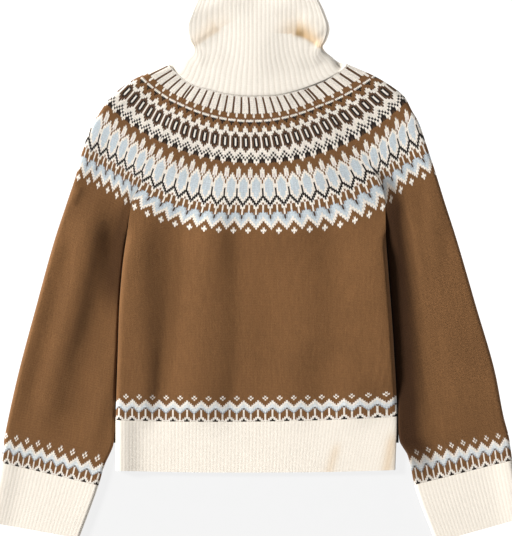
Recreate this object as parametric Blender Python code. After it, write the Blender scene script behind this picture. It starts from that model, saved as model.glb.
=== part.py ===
"""A roll-neck pullover with a patterned yoke, laid flat with its front up.

The object's frame: +X is the wearer's left, +Y runs from the hem to the neck and +Z
points up from the surface on which the back lies. The origin is on that surface, at the
middle of the object's box. The cloth is knitted; each piece is one wall of cloth with an
outer and an inner face. Sizes in the tables are millimetres, and the meshes are metres.

A "course" is a row of knitting. It is counted down the centre front from the neckline,
in millimetres of cloth, and on the sleeves it goes on from the armpit to the wrist.
"""

import math

import bmesh
import bpy
import numpy as np
from mathutils import Vector

for thing in list(bpy.data.objects):
    bpy.data.objects.remove(thing, do_unlink=True)

# ---------------------------------------------------------------- driving sizes, mm
WALL = 3.0            # thickness of the knitted cloth
GAP = 0.3             # between pieces at every seam
BASE = 9.0            # height of the front cloth where nothing lifts it
LOWEST = 6.8          # height of the front cloth where it lies on the back
BODY_MID = 8.0        # height of the side fold's outermost line, body
BODY_EDGE = 15.0      # height of the cloth just inside the body's side fold at -X
BODY_BROW = 20.0      # and at +X, where the body stands over the sleeve
HEM_BROW = 9.5        # the same in the hem's rib
BODY_ROUND = 8.0      # how far in the body's side fold is rounded
SLEEVE_MID = 6.0      # the same three for a sleeve's outer fold
SLEEVE_EDGE = 12.0
SLEEVE_ROUND = 6.5
UNDER_MID = 4.6       # and for a sleeve's fold under the arm
UNDER_EDGE = 9.2
UNDER_ROUND = 5.0
ARMPIT = 214.4        # course at the armpit, counted from the neckline down the centre front
CURL_RUN = 70.0       # length over which a side fold forms below the armpit
BAND_TOP = 477.0      # first course of the patterned band above the hem
RIB_TOP = 521.6       # last course of the front above its rib
SLEEVE_RIB = 684.8    # last course of a sleeve above its cuff
CUFF_END = 780.8      # last course of a cuff

# Courses of the front: distance down the centre, the two ends, how far the middle
# hangs below the line between the ends, and how square that curve is.
FRONT_COLUMNS = ("course", "left_x", "left_y", "right_x", "right_y", "dip", "square")
FRONT_ROWS = (
    (0.0, -100.0, 273.0, 78.4, 268.4, 15.8, 2.0),
    (41.6, -123.2, 240.8, 103.7, 238.4, 26.6, 2.0),
    (76.8, -141.6, 211.2, 127.2, 213.6, 33.9, 2.1),
    (99.2, -150.4, 191.2, 144.6, 191.2, 35.2, 2.1),
    (121.6, -160.8, 168.0, 163.2, 168.0, 34.6, 2.2),
    (145.6, -172.0, 144.8, 176.8, 152.0, 39.2, 2.5),
    (179.2, -184.8, 115.2, 194.4, 124.0, 44.0, 2.8),
    (214.4, -200.0, 81.6, 207.2, 80.0, 40.8, 3.2),
    (248.0, -205.6, 41.6, 207.6, 38.4, 32.8, 3.0),
    (296.0, -213.9, -17.6, 211.7, -20.8, 23.2, 2.8),
    (360.0, -219.4, -89.6, 217.1, -91.2, 15.2, 2.6),
    (424.0, -221.6, -160.0, 221.6, -161.6, 8.8, 2.4),
    (484.0, -223.8, -224.8, 224.8, -220.6, 5.8, 2.2),
    (521.6, -224.8, -263.2, 225.8, -257.6, 5.4, 2.2),
    (600.8, -224.8, -344.0, 223.2, -343.2, 3.6, 2.4),
)

# Courses of the back, which lies flat below: its own raglan ends and neckline.
BACK_COLUMNS = ("course", "left_x", "left_y", "right_x", "right_y", "dip")
BACK_ROWS = (
    (0.0, -98.0, 311.0, 100.0, 311.0, -4.0),
    (60.0, -131.0, 244.0, 134.0, 244.0, -2.0),
    (130.0, -168.0, 163.0, 173.0, 163.0, 2.0),
    (214.4, -200.0, 81.6, 207.2, 80.0, 6.0),
    (248.0, -205.6, 41.6, 207.6, 38.4, 6.0),
    (296.0, -213.9, -17.6, 211.7, -20.8, 5.0),
    (360.0, -219.4, -89.6, 217.1, -91.2, 4.0),
    (424.0, -221.6, -160.0, 221.6, -161.6, 4.0),
    (484.0, -223.8, -224.8, 224.8, -220.6, 4.0),
    (521.6, -224.8, -263.2, 225.8, -257.6, 4.0),
    (600.8, -224.8, -344.0, 223.2, -343.2, 3.0),
)

# Courses of a sleeve: its outer fold, and how far the front bows down between the ends.
# Down to the armpit its inner end is the raglan seam.
SLEEVE_COLUMNS = ("course", "out_x", "out_y", "bow")
RIGHT_SLEEVE_ROWS = (
    (0.0, -140.0, 304.8, 3.0),
    (41.6, -188.0, 286.0, 4.5),
    (76.8, -215.2, 268.8, 7.0),
    (99.2, -236.0, 249.6, 6.0),
    (121.6, -248.0, 232.0, 3.0),
    (145.6, -264.0, 206.4, 0.0),
    (179.2, -277.6, 168.0, -3.0),
    (214.4, -288.8, 126.4, -5.0),
    (256.0, -302.1, 86.4, -4.0),
    (320.0, -322.7, 24.0, -3.0),
    (432.0, -352.8, -84.8, 0.0),
    (544.0, -381.6, -193.6, 0.0),
    (616.0, -397.6, -265.6, 0.0),
    (646.4, -403.2, -294.4, 0.0),
    (684.8, -408.8, -331.2, 0.0),
    (780.8, -428.0, -426.7, 0.0),
)
LEFT_SLEEVE_ROWS = (
    (0.0, 146.0, 306.5, 4.0),
    (41.6, 191.2, 286.5, 5.0),
    (76.8, 220.0, 268.8, 5.0),
    (99.2, 237.6, 254.4, 5.0),
    (121.6, 249.6, 232.0, 3.0),
    (145.6, 260.0, 214.4, 0.0),
    (179.2, 274.4, 172.8, -4.0),
    (214.4, 288.0, 131.2, -12.0),
    (256.0, 300.8, 89.6, -10.0),
    (320.0, 320.8, 27.2, -6.0),
    (432.0, 352.0, -80.0, -2.0),
    (544.0, 383.2, -188.8, 0.0),
    (616.0, 396.8, -259.2, 0.0),
    (646.4, 404.8, -289.6, 0.0),
    (684.8, 410.4, -327.4, 0.0),
    (780.8, 428.0, -420.0, 0.0),
)

# The fold under each arm, from the armpit to the wrist.
UNDERARM_COLUMNS = ("course", "in_x", "in_y")
RIGHT_UNDERARM_ROWS = (
    (214.4, -200.0, 81.6),
    (256.0, -207.0, 33.0),
    (320.0, -215.0, -27.0),
    (432.0, -221.0, -128.0),
    (544.0, -224.5, -235.2),
    (616.0, -227.5, -299.2),
    (646.4, -242.4, -336.0),
    (684.8, -252.0, -368.0),
    (780.8, -283.0, -452.8),
)
LEFT_UNDERARM_ROWS = (
    (214.4, 207.2, 80.0),
    (256.0, 208.5, 30.0),
    (320.0, 213.0, -30.0),
    (432.0, 219.5, -128.0),
    (544.0, 225.5, -235.2),
    (616.0, 229.0, -294.4),
    (646.4, 243.2, -321.6),
    (684.8, 253.6, -367.0),
    (780.8, 287.2, -459.2),
)
BESIDE = 1.0          # how far the fold under an arm stays outside the body's side fold

# The lines on which the roll neck is linked: to the front and sleeves, and behind.
NECKLINE_COLUMNS = ("x", "y")
NECKLINE_ROWS = (
    (-140.0, 304.8), (-130.4, 295.2), (-120.8, 285.8), (-108.0, 276.6),
    (-93.6, 270.6), (-77.6, 266.0), (-42.7, 258.0), (-6.1, 254.9), (30.7, 256.2),
    (59.4, 262.0), (92.0, 273.3), (120.5, 285.8), (138.9, 297.8), (146.0, 306.5),
)
BACK_NECKLINE_ROWS = (
    (-140.0, 304.8), (-98.0, 311.0), (-48.5, 314.0), (1.0, 315.0),
    (50.5, 314.0), (100.0, 311.0), (146.0, 306.5),
)

# Courses of the roll neck. share runs from the linked edge to the top. The front layer
# passes through its middle, the near and far end of the side crease and the side fold;
# w is how far each lies from mid_x, the same to either side, and z is its height.
NECK_COLUMNS = ("share", "mid_x", "mid_y", "mid_z", "near_w", "near_y", "near_z",
                "far_w", "far_y", "far_z", "side_w", "side_y", "side_z", "back_y")
NECK_ROWS = (
    (0.00, 3.0, 255.0, 9.0, 60.0, 263.5, 9.2, 100.0, 277.0, 10.5, 143.0, 305.5, 6.0, 315.0),
    (0.18, 3.0, 285.0, 14.0, 57.0, 296.0, 13.8, 89.0, 300.0, 13.0, 119.0, 317.5, 7.5, 331.0),
    (0.36, 2.4, 314.0, 18.5, 57.0, 329.0, 18.2, 88.0, 319.0, 16.5, 106.5, 329.0, 9.5, 347.0),
    (0.50, 2.4, 343.0, 21.5, 58.5, 361.0, 21.0, 94.0, 336.5, 18.5, 104.5, 334.5, 10.5, 362.0),
    (0.56, 2.4, 355.0, 22.3, 60.0, 368.0, 22.0, 97.0, 346.0, 20.5, 110.5, 344.0, 11.0, 369.0),
    (0.66, 2.4, 375.0, 23.0, 60.5, 384.0, 23.0, 98.0, 367.0, 22.5, 115.5, 362.0, 11.5, 384.0),
    (0.80, 2.4, 404.0, 24.0, 56.0, 407.0, 26.0, 88.0, 399.0, 25.0, 108.0, 388.0, 12.0, 410.0),
    (1.00, 0.8, 459.0, 21.0, 42.0, 459.0, 21.0, 60.0, 458.5, 20.5, 70.4, 458.0, 10.2, 459.0),
)
NECK_STATIONS = (0.0, 0.12, 0.27, 0.5, 0.73, 0.88, 1.0)
NECK_ROUND = 9.0      # how far in the roll neck's side fold is rounded

# Folds lying in the front cloth of each piece: three points that the fold passes
# through, how high it stands (below zero for a trough), its half width and how
# pointed it is (2 is soft, 1 is sharp).
FOLD_COLUMNS = ("piece", "x0", "y0", "x1", "y1", "x2", "y2", "height", "half_width", "point")
FOLD_ROWS = (
    ("front", -180.3, 128.5, -181.0, -106.6, -174.4, -288.1, 7.5, 24.0, 2.0),
    ("front", -124.9, 111.8, -135.6, -106.7, -171.6, -289.5, -4.2, 18.0, 1.7),
    ("front", -73.7, 111.8, -83.7, -106.7, -114.5, -289.5, 5.4, 29.0, 2.0),
    ("front", -38.6, 106.4, -29.9, -96.7, -45.1, -293.9, -5.6, 23.0, 1.8),
    ("front", -2.6, 106.4, 54.5, -96.7, 56.6, -293.9, 5.1, 38.0, 2.0),
    ("front", 64.4, 94.7, 88.7, -47.7, 102.6, -181.3, 7.4, 38.0, 2.0),
    ("front", 161.9, 111.8, 158.1, -106.7, 155.7, -289.5, 7.5, 38.0, 2.0),
    ("front", -76.8, 106.4, -34.9, -96.7, -88.3, -293.9, 7.2, 38.0, 2.0),
    ("right_sleeve", -250.6, 114.4, -299.4, -91.6, -357.8, -316.8, 7.5, 26.0, 2.0),
    ("right_sleeve", -220.7, 114.4, -256.6, -91.6, -398.8, -316.8, -5.1, 38.0, 1.7),
    ("right_sleeve", -262.7, 115.6, -244.0, -101.7, -271.7, -357.6, 1.5, 20.0, 2.0),
    ("right_sleeve", -302.7, 53.9, -348.3, -91.3, -395.9, -294.4, 4.6, 18.0, 2.0),
    ("right_sleeve", -288.8, 114.4, -285.3, -91.6, -370.7, -316.8, 7.5, 33.0, 2.0),
    ("right_sleeve", -214.9, 115.6, -211.3, -101.7, -286.9, -357.6, 1.9, 13.0, 2.0),
    ("left_sleeve", 228.3, 114.4, 260.2, -91.6, 292.2, -316.8, -7.0, 8.0, 1.6),
    ("left_sleeve", 285.7, 114.4, 294.2, -91.6, 343.3, -316.8, 2.7, 16.0, 2.0),
    ("left_sleeve", 339.2, 152.9, 291.0, -61.8, 333.6, -334.4, -2.4, 23.0, 2.0),
    ("left_sleeve", 280.4, 133.4, 314.3, -91.5, 375.3, -297.2, 2.4, 19.0, 2.0),
    ("right_sleeve", -281.0, 112.0, -288.0, 95.0, -297.0, 78.0, 3.0, 7.0, 2.0),
)


# ---------------------------------------------------------------- curves
def smooth_curve(at, values):
    """A curve through (at, values) with no overshoot between the points."""
    at = np.asarray(at, float)
    values = np.asarray(values, float)
    step = np.diff(at)
    slope = np.diff(values) / step
    tangent = np.zeros(len(at))
    tangent[0], tangent[-1] = slope[0], slope[-1]
    for i in range(1, len(at) - 1):
        if slope[i - 1] * slope[i] > 0:
            a = 2 * step[i] + step[i - 1]
            b = step[i] + 2 * step[i - 1]
            tangent[i] = (a + b) / (a / slope[i - 1] + b / slope[i])

    def read(x):
        x = np.clip(np.asarray(x, float), at[0], at[-1])
        k = np.clip(np.searchsorted(at, x, side="right") - 1, 0, len(at) - 2)
        h = step[k]
        t = (x - at[k]) / h
        return (
            values[k] * (1 + 2 * t) * (1 - t) ** 2
            + tangent[k] * h * t * (1 - t) ** 2
            + values[k + 1] * t * t * (3 - 2 * t)
            - tangent[k + 1] * h * t * t * (1 - t)
        )

    return read


def table(columns, rows):
    """One smooth curve for each column, read by the first column."""
    data = list(zip(*rows))
    return {name: smooth_curve(data[0], data[i]) for i, name in enumerate(columns)}


def ease(t):
    t = np.clip(t, 0.0, 1.0)
    return t * t * (3 - 2 * t)


FRONT = table(FRONT_COLUMNS, FRONT_ROWS)
BACK = table(BACK_COLUMNS, BACK_ROWS)
SLEEVE = {"right_sleeve": table(SLEEVE_COLUMNS, RIGHT_SLEEVE_ROWS),
          "left_sleeve": table(SLEEVE_COLUMNS, LEFT_SLEEVE_ROWS)}
UNDERARM = {"right_sleeve": table(UNDERARM_COLUMNS, RIGHT_UNDERARM_ROWS),
            "left_sleeve": table(UNDERARM_COLUMNS, LEFT_UNDERARM_ROWS)}
SEAM_END = {"right_sleeve": ("left_x", "left_y"), "left_sleeve": ("right_x", "right_y")}
OUTWARD = {"right_sleeve": -1.0, "left_sleeve": 1.0}
NECKLINE = table(NECKLINE_COLUMNS, NECKLINE_ROWS)["y"]
BACK_NECKLINE = table(NECKLINE_COLUMNS, BACK_NECKLINE_ROWS)["y"]
NECK = table(NECK_COLUMNS, NECK_ROWS)


def curled(course):
    """0 where an edge is a raglan seam, 1 where it is a full side fold."""
    return float(ease((course - ARMPIT) / CURL_RUN))


def body_side(side, y):
    """x of the body's side fold at a height y, below the armpit."""
    courses = np.linspace(ARMPIT, 600.8, 240)
    name_x, name_y = SEAM_END[side]
    return np.interp(-y, -FRONT[name_y](courses), FRONT[name_x](courses))


# ---------------------------------------------------------------- where the courses run
def front_course(course, u):
    """Plan of a course of the front; u runs from its end at -X to its end at +X."""
    f = {k: float(FRONT[k](course)) for k in FRONT_COLUMNS}
    x = f["left_x"] + (f["right_x"] - f["left_x"]) * u
    chord = f["left_y"] + (f["right_y"] - f["left_y"]) * u
    y = chord - f["dip"] * (1 - np.abs(2 * u - 1) ** f["square"])
    near = float(1 - ease(course / 40.0))
    if near > 0:
        x0 = FRONT_ROWS[0][1] + (FRONT_ROWS[0][3] - FRONT_ROWS[0][1]) * u
        chord0 = FRONT_ROWS[0][2] + (FRONT_ROWS[0][4] - FRONT_ROWS[0][2]) * u
        y = (1 - near) * y + near * (chord - (chord0 - NECKLINE(x0)) * f["dip"] / FRONT_ROWS[0][5])
    return x, y


def back_course(course, u):
    f = {k: float(BACK[k](course)) for k in BACK_COLUMNS}
    x = f["left_x"] + (f["right_x"] - f["left_x"]) * u
    y = f["left_y"] + (f["right_y"] - f["left_y"]) * u - f["dip"] * (1 - (2 * u - 1) ** 2)
    return x, y


def sleeve_ends(side, course, behind):
    """Plan of a sleeve course's inner end and outer fold."""
    name_x, name_y = SEAM_END[side]
    if course <= ARMPIT:
        seam = BACK if behind else FRONT
        inner = float(seam[name_x](course)), float(seam[name_y](course))
    else:
        x = float(UNDERARM[side]["in_x"](course))
        y = float(UNDERARM[side]["in_y"](course))
        out = OUTWARD[side]
        beside = float(body_side(side, y)) + out * BESIDE * float(ease((course - ARMPIT) / 25.0))
        inner = out * max(out * x, out * beside), y
    return inner, (float(SLEEVE[side]["out_x"](course)), float(SLEEVE[side]["out_y"](course)))


def sleeve_course(side, course, u, behind=False):
    """u is 0 at the inner end and 1 at the outer fold."""
    (ix, iy), (ox, oy) = sleeve_ends(side, course, behind)
    x = ix + (ox - ix) * u
    y = iy + (oy - iy) * u
    if not behind:
        y = y - float(SLEEVE[side]["bow"](course)) * 4 * u * (1 - u)
        near = float(1 - ease(course / 40.0))
        if near > 0:
            (ix, iy), (ox, oy) = sleeve_ends(side, 0.0, False)
            straight = iy + (oy - iy) * u - float(SLEEVE[side]["bow"](0.0)) * 4 * u * (1 - u)
            y = y + near * (NECKLINE(ix + (ox - ix) * u) - straight)
    return x, y


# ---------------------------------------------------------------- heights of the front cloth
def fold_heights(piece, x, y):
    total = np.zeros(np.shape(x))
    for name, x0, y0, x1, y1, x2, y2, height, half, point in FOLD_ROWS:
        if name != piece:
            continue
        best = np.full(total.shape, 1e9)
        along = np.zeros(total.shape)
        last = None
        for n in range(13):
            t = n / 12
            a, b, c = (1 - t) * (1 - 2 * t), 4 * t * (1 - t), t * (2 * t - 1)
            p = (a * x0 + b * x1 + c * x2, a * y0 + b * y1 + c * y2)
            if last is not None:
                dx, dy = p[0] - last[0], p[1] - last[1]
                s = np.clip(((x - last[0]) * dx + (y - last[1]) * dy) / (dx * dx + dy * dy), 0, 1)
                d = np.hypot(x - last[0] - s * dx, y - last[1] - s * dy)
                closer = d < best
                best = np.where(closer, d, best)
                along = np.where(closer, (n - 1 + s) / 12, along)
            last = p
        fade = ease(along / 0.22) * ease((1 - along) / 0.22)
        total = total + height * fade * np.exp(-((best / half) ** point))
    return total


def lie_on(height):
    """Keeps the cloth from sinking into the layer below it, softly."""
    over = height - LOWEST
    return LOWEST + 0.5 * (over + np.sqrt(over * over + 1.2))


def front_height(course, x, y, from_left, from_right):
    lift = (BODY_EDGE - BASE) * np.exp(-((np.maximum(from_left - BODY_ROUND, 0) / 24.0) ** 2))
    brow = BODY_BROW + (HEM_BROW - BODY_BROW) * float(ease((course - 440.0) / 90.0))
    lift = lift + (brow - BASE) * np.exp(-((np.maximum(from_right - BODY_ROUND, 0) / 36.0) ** 2))
    return lie_on(BASE + curled(course) * lift + fold_heights("front", x, y))


def sleeve_height(side, course, x, y, from_in, from_out):
    lift_out = (SLEEVE_EDGE - BASE) * np.exp(-((np.maximum(from_out - SLEEVE_ROUND, 0) / 22.0) ** 2))
    lift_in = (UNDER_EDGE - BASE) * np.exp(-((np.maximum(from_in - UNDER_ROUND, 0) / 18.0) ** 2))
    return lie_on(BASE + lift_out + curled(course) * lift_in + fold_heights(side, x, y))


# ---------------------------------------------------------------- cloth as two faces
def side_fold(steps, c, round_in, spread):
    """Round a side fold that is curled by the share c, from its outermost line in:
    distances in of the outer and inner faces, and the share of the way up."""
    j = np.arange(steps + 1)
    start = (1 - c) * math.pi / 2
    turn = start + c * math.pi / 2 * j / steps
    slack = (1 - c) * j * spread
    outer = round_in * (math.cos(start) - np.cos(turn)) + slack
    inner = round_in * math.cos(start) - (round_in - WALL) * np.cos(turn) + slack
    return outer, inner, np.sin(turn)


def body_cloth(courses, middle, steps, back=False):
    """Outer and inner face of the front or the back, a row of points for each course."""
    run = back_course if back else front_course
    outer, inner = [], []
    for course in courses:
        c = curled(course)
        (x0, x1), (y0, y1) = run(course, np.array([0.0, 1.0]))
        width = math.hypot(x1 - x0, y1 - y0)
        out_d, in_d, up = side_fold(steps, c, BODY_ROUND, 2.5)
        out_d, in_d = out_d + GAP / 2, in_d + GAP / 2
        reach = out_d[-1]
        flat = reach + (width - 2 * reach) * np.arange(1, middle) / middle
        d_out = np.concatenate([out_d, flat, (width - out_d)[::-1]])
        d_in = np.concatenate([in_d, flat, (width - in_d)[::-1]])
        rise = np.concatenate([up, np.ones(middle - 1), up[::-1]])
        seam = c * (1 - rise) * GAP / 2
        xo, yo = run(course, d_out / width)
        xi, yi = run(course, d_in / width)
        if back:
            zo = BODY_MID * (1 - rise) - seam
            zi = BODY_MID - (BODY_MID - WALL) * rise - seam
        else:
            top = front_height(course, xo, yo, d_out, width - d_out)
            zo = BODY_MID + (top - BODY_MID) * rise + seam
            zi = BODY_MID + (top - WALL - BODY_MID) * rise + seam
        outer.append(np.stack([xo, yo, zo], 1))
        inner.append(np.stack([xi, yi, zi], 1))
    return np.array(outer), np.array(inner)


def sleeve_cloth(side, courses, middle, behind, steps, turns):
    """One sheet round the arm: in front from the inner end to the outer fold, then back."""
    outer, inner = [], []
    for course in courses:
        c = curled(course)
        row_out, row_in = [], []
        for back in (False, True):
            (x0, x1), (y0, y1) = sleeve_course(side, course, np.array([0.0, 1.0]), back)
            length = math.hypot(x1 - x0, y1 - y0)
            end_out, end_in, end_up = side_fold(steps, c, UNDER_ROUND, 2.0)
            end_out, end_in = end_out + GAP / 2, end_in + GAP / 2
            fold_out, fold_in, fold_up = side_fold(turns, 1.0, SLEEVE_ROUND, 0.0)
            n = behind if back else middle
            flat = end_out[-1] + (length - end_out[-1] - fold_out[-1]) * np.arange(1, n) / n
            d_out = np.concatenate([end_out, flat, (length - fold_out)[::-1]])
            d_in = np.concatenate([end_in, flat, (length - fold_in)[::-1]])
            rise = np.concatenate([end_up, np.ones(n - 1), fold_up[::-1]])
            level = np.concatenate([np.full(steps + 1, UNDER_MID),
                                    np.linspace(UNDER_MID, SLEEVE_MID, n + 1)[1:-1],
                                    np.full(turns + 1, SLEEVE_MID)])
            seam = np.zeros(len(rise))
            seam[:steps + 1] = c * (1 - end_up) * GAP / 2
            xo, yo = sleeve_course(side, course, d_out / length, back)
            xi, yi = sleeve_course(side, course, d_in / length, back)
            if back:
                zo = level * (1 - rise) - seam
                zi = level - (level - WALL) * rise - seam
            else:
                top = sleeve_height(side, course, xo, yo, d_out, length - d_out)
                zo = level + (top - level) * rise + seam
                zi = level + (top - WALL - level) * rise + seam
            points_out = np.stack([xo, yo, zo], 1)
            points_in = np.stack([xi, yi, zi], 1)
            if back:
                points_out, points_in = points_out[::-1][1:], points_in[::-1][1:]
            row_out.append(points_out)
            row_in.append(points_in)
        outer.append(np.concatenate(row_out))
        inner.append(np.concatenate(row_in))
    return np.array(outer), np.array(inner)


def neck_cloth(shares, middle, behind, turns):
    """The roll neck as a ring: front layer from -X to +X, then behind."""
    outer, inner = [], []
    for share in shares:
        r = {k: float(NECK[k](share)) for k in NECK_COLUMNS}
        across = [-r["side_w"], -r["far_w"], -r["near_w"], 0.0, r["near_w"], r["far_w"], r["side_w"]]
        down = [r["side_y"], r["far_y"], r["near_y"], r["mid_y"], r["near_y"], r["far_y"], r["side_y"]]
        high = [r["far_z"], r["far_z"], r["near_z"], r["mid_z"], r["near_z"], r["far_z"], r["far_z"]]
        x_at = smooth_curve(NECK_STATIONS, across)
        y_at = smooth_curve(NECK_STATIONS, down)
        z_at = smooth_curve(NECK_STATIONS, high)
        linked = float(1 - ease(share / 0.18))
        width = 2 * r["side_w"]
        fold_out, fold_in, fold_up = side_fold(turns, 1.0, NECK_ROUND, 0.0)
        for_faces = []
        for fold in (fold_out, fold_in):
            flat = fold_out[-1] + (width - 2 * fold_out[-1]) * np.arange(1, middle) / middle
            front = np.concatenate([fold, flat, (width - fold)[::-1]]) / width
            flat = fold_out[-1] + (width - 2 * fold_out[-1]) * np.arange(1, behind) / behind
            rear = np.concatenate([fold, flat, (width - fold)[::-1]]) / width
            for_faces.append((front, rear[::-1][1:-1]))
        rise = np.concatenate([fold_up, np.ones(middle - 1), fold_up[::-1]])
        rise_back = np.concatenate([fold_up, np.ones(behind - 1), fold_up[::-1]])[1:-1]
        rows = []
        for (front, rear), thick in zip(for_faces, (0.0, WALL)):
            x = r["mid_x"] + x_at(front) * (1 - 0.03 * linked)
            y = y_at(front)
            y = y + linked * (NECKLINE(r["mid_x"] + x_at(front)) + 0.45 - y)
            z = r["side_z"] + (z_at(front) - thick - r["side_z"]) * rise
            xb = r["mid_x"] + r["side_w"] * (2 * rear - 1) * (1 - 0.03 * linked)
            yb = r["side_y"] + (r["back_y"] - r["side_y"]) * (1 - (2 * rear - 1) ** 4)
            yb = yb + linked * (BACK_NECKLINE(xb) + 0.8 - yb)
            zb = r["side_z"] - (r["side_z"] - thick) * rise_back
            rows.append(np.concatenate([np.stack([x, y, z], 1), np.stack([xb, yb, zb], 1)]))
        outer.append(rows[0])
        inner.append(rows[1])
    return np.array(outer), np.array(inner)


# ---------------------------------------------------------------- yarns
def yarn(name, colour, roughness):
    material = bpy.data.materials.new(name)
    material.use_nodes = True
    shader = material.node_tree.nodes["Principled BSDF"]
    shader.inputs["Base Color"].default_value = (*colour, 1.0)
    shader.inputs["Roughness"].default_value = roughness
    shader.inputs["Metallic"].default_value = 0.0
    return material


BROWN = yarn("brown_yarn", (0.205, 0.102, 0.045), 0.93)
CREAM = yarn("cream_yarn", (0.90, 0.82, 0.70), 0.92)


# ---------------------------------------------------------------- solids
garment = bpy.data.objects.new("pullover", None)
bpy.context.scene.collection.objects.link(garment)


def cloth_solid(name, faces, material, ring=False):
    """A closed wall of cloth between its outer and inner face, both given in rows of
    points. A ring joins the last point of each row to the first."""
    outer, inner = (np.asarray(f, float) / 1000 for f in faces)
    rows, columns = outer.shape[:2]
    middle = Vector(((outer[..., 0].min() + outer[..., 0].max()) / 2,
                     (outer[..., 1].min() + outer[..., 1].max()) / 2, 0.0))
    mesh = bpy.data.meshes.new(name)
    bm = bmesh.new()
    corner = [[[bm.verts.new(Vector(face[r, c]) - middle) for c in range(columns)]
               for r in range(rows)] for face in (outer, inner)]
    last = columns if ring else columns - 1
    for r in range(rows - 1):
        for c in range(last):
            d = (c + 1) % columns
            bm.faces.new((corner[0][r][c], corner[0][r + 1][c], corner[0][r + 1][d], corner[0][r][d]))
            bm.faces.new((corner[1][r][c], corner[1][r][d], corner[1][r + 1][d], corner[1][r + 1][c]))
    for r in (0, rows - 1):
        for c in range(last):
            d = (c + 1) % columns
            bm.faces.new((corner[0][r][c], corner[0][r][d], corner[1][r][d], corner[1][r][c]))
    if not ring:
        for r in range(rows - 1):
            for c in (0, columns - 1):
                bm.faces.new((corner[0][r][c], corner[0][r + 1][c], corner[1][r + 1][c], corner[1][r][c]))
    bmesh.ops.recalc_face_normals(bm, faces=bm.faces)
    bm.to_mesh(mesh)
    bm.free()
    mesh.materials.append(material)
    mesh.shade_smooth()
    mesh.set_sharp_from_angle(angle=math.radians(50))
    solid = bpy.data.objects.new(name, mesh)
    solid.location = middle
    solid.parent = garment
    bpy.context.scene.collection.objects.link(solid)
    return solid


def step_apart(faces, first=0.0, last=0.0):
    """Takes the first and last course of a piece back from its seams, along the wales."""
    for face in faces:
        for row, beside, amount in ((0, 1, first), (-1, -2, last)):
            if amount:
                run = face[beside] - face[row]
                run = run / np.linalg.norm(run, axis=1)[:, None]
                face[row] += run * amount
    return faces


YOKE = (0.0, 20.0, 41.6, 76.8, 99.2, 121.6, 145.6, 179.2, ARMPIT)
FRONT_COURSES = YOKE + (231.0, 248.0, 272.0, 296.0, 328.0, 360.0, 392.0, 424.0, 454.0, 484.0, RIB_TOP)
BACK_COURSES = YOKE + (248.0, 296.0, 360.0, 424.0, 484.0, RIB_TOP)
HEM_COURSES = (RIB_TOP, 561.0, 600.8)
SLEEVE_COURSES = YOKE + (231.0, 256.0, 320.0, 376.0, 432.0, 544.0, 616.0, 646.4, SLEEVE_RIB)
CUFF_COURSES = (SLEEVE_RIB, 732.0, CUFF_END)
NECK_SHARES = (0.0, 0.09, 0.18, 0.36, 0.50, 0.56, 0.66, 0.80, 1.0)

cloth_solid("front_panel", step_apart(body_cloth(FRONT_COURSES, 20, 3), 0.0, GAP / 2), BROWN)
cloth_solid("back_panel", step_apart(body_cloth(BACK_COURSES, 12, 3, back=True), 0.0, GAP / 2), BROWN)
cloth_solid("front_hem_rib", step_apart(body_cloth(HEM_COURSES, 20, 3), GAP / 2), CREAM)
cloth_solid("back_hem_rib", step_apart(body_cloth(HEM_COURSES, 12, 3, back=True), GAP / 2), CREAM)
for side in ("left", "right"):
    sleeve = side + "_sleeve"
    cloth_solid(sleeve, step_apart(sleeve_cloth(sleeve, SLEEVE_COURSES, 9, 5, 3, 3), 0.0, GAP / 2), BROWN)
    cloth_solid(side + "_cuff", step_apart(sleeve_cloth(sleeve, CUFF_COURSES, 9, 5, 3, 3), GAP / 2), CREAM)
cloth_solid("roll_neck", neck_cloth(NECK_SHARES, 20, 8, 3), CREAM, ring=True)
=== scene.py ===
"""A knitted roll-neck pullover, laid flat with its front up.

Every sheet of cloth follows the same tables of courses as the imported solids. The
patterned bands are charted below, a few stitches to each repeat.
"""
import math

import bpy
import numpy as np
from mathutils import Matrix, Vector


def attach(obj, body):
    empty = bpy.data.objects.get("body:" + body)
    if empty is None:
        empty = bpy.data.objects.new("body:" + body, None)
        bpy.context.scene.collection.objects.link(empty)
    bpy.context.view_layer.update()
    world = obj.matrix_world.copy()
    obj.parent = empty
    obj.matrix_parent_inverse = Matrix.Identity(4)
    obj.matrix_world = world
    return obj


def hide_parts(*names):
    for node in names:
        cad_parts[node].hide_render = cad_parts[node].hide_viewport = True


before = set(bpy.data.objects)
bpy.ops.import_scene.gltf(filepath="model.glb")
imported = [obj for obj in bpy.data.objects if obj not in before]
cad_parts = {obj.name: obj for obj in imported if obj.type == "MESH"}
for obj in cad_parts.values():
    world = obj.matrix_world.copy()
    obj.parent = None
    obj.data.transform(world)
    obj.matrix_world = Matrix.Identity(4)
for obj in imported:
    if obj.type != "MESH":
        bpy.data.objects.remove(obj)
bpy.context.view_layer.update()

# ---------------------------------------------------------------- driving sizes, mm
WALL = 3.0            # thickness of the knitted cloth
GAP = 0.3             # between pieces at every seam
BASE = 9.0            # height of the front cloth where nothing lifts it
LOWEST = 6.8          # height of the front cloth where it lies on the back
BODY_MID = 8.0        # height of the side fold's outermost line, body
BODY_EDGE = 15.0      # height of the cloth just inside the body's side fold at -X
BODY_BROW = 20.0      # and at +X, where the body stands over the sleeve
HEM_BROW = 9.5        # the same in the hem's rib
BODY_ROUND = 8.0      # how far in the body's side fold is rounded
SLEEVE_MID = 6.0      # the same three for a sleeve's outer fold
SLEEVE_EDGE = 12.0
SLEEVE_ROUND = 6.5
UNDER_MID = 4.6       # and for a sleeve's fold under the arm
UNDER_EDGE = 9.2
UNDER_ROUND = 5.0
ARMPIT = 214.4        # course at the armpit, counted from the neckline down the centre front
CURL_RUN = 70.0       # length over which a side fold forms below the armpit
BAND_TOP = 477.0      # first course of the patterned band above the hem
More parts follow.
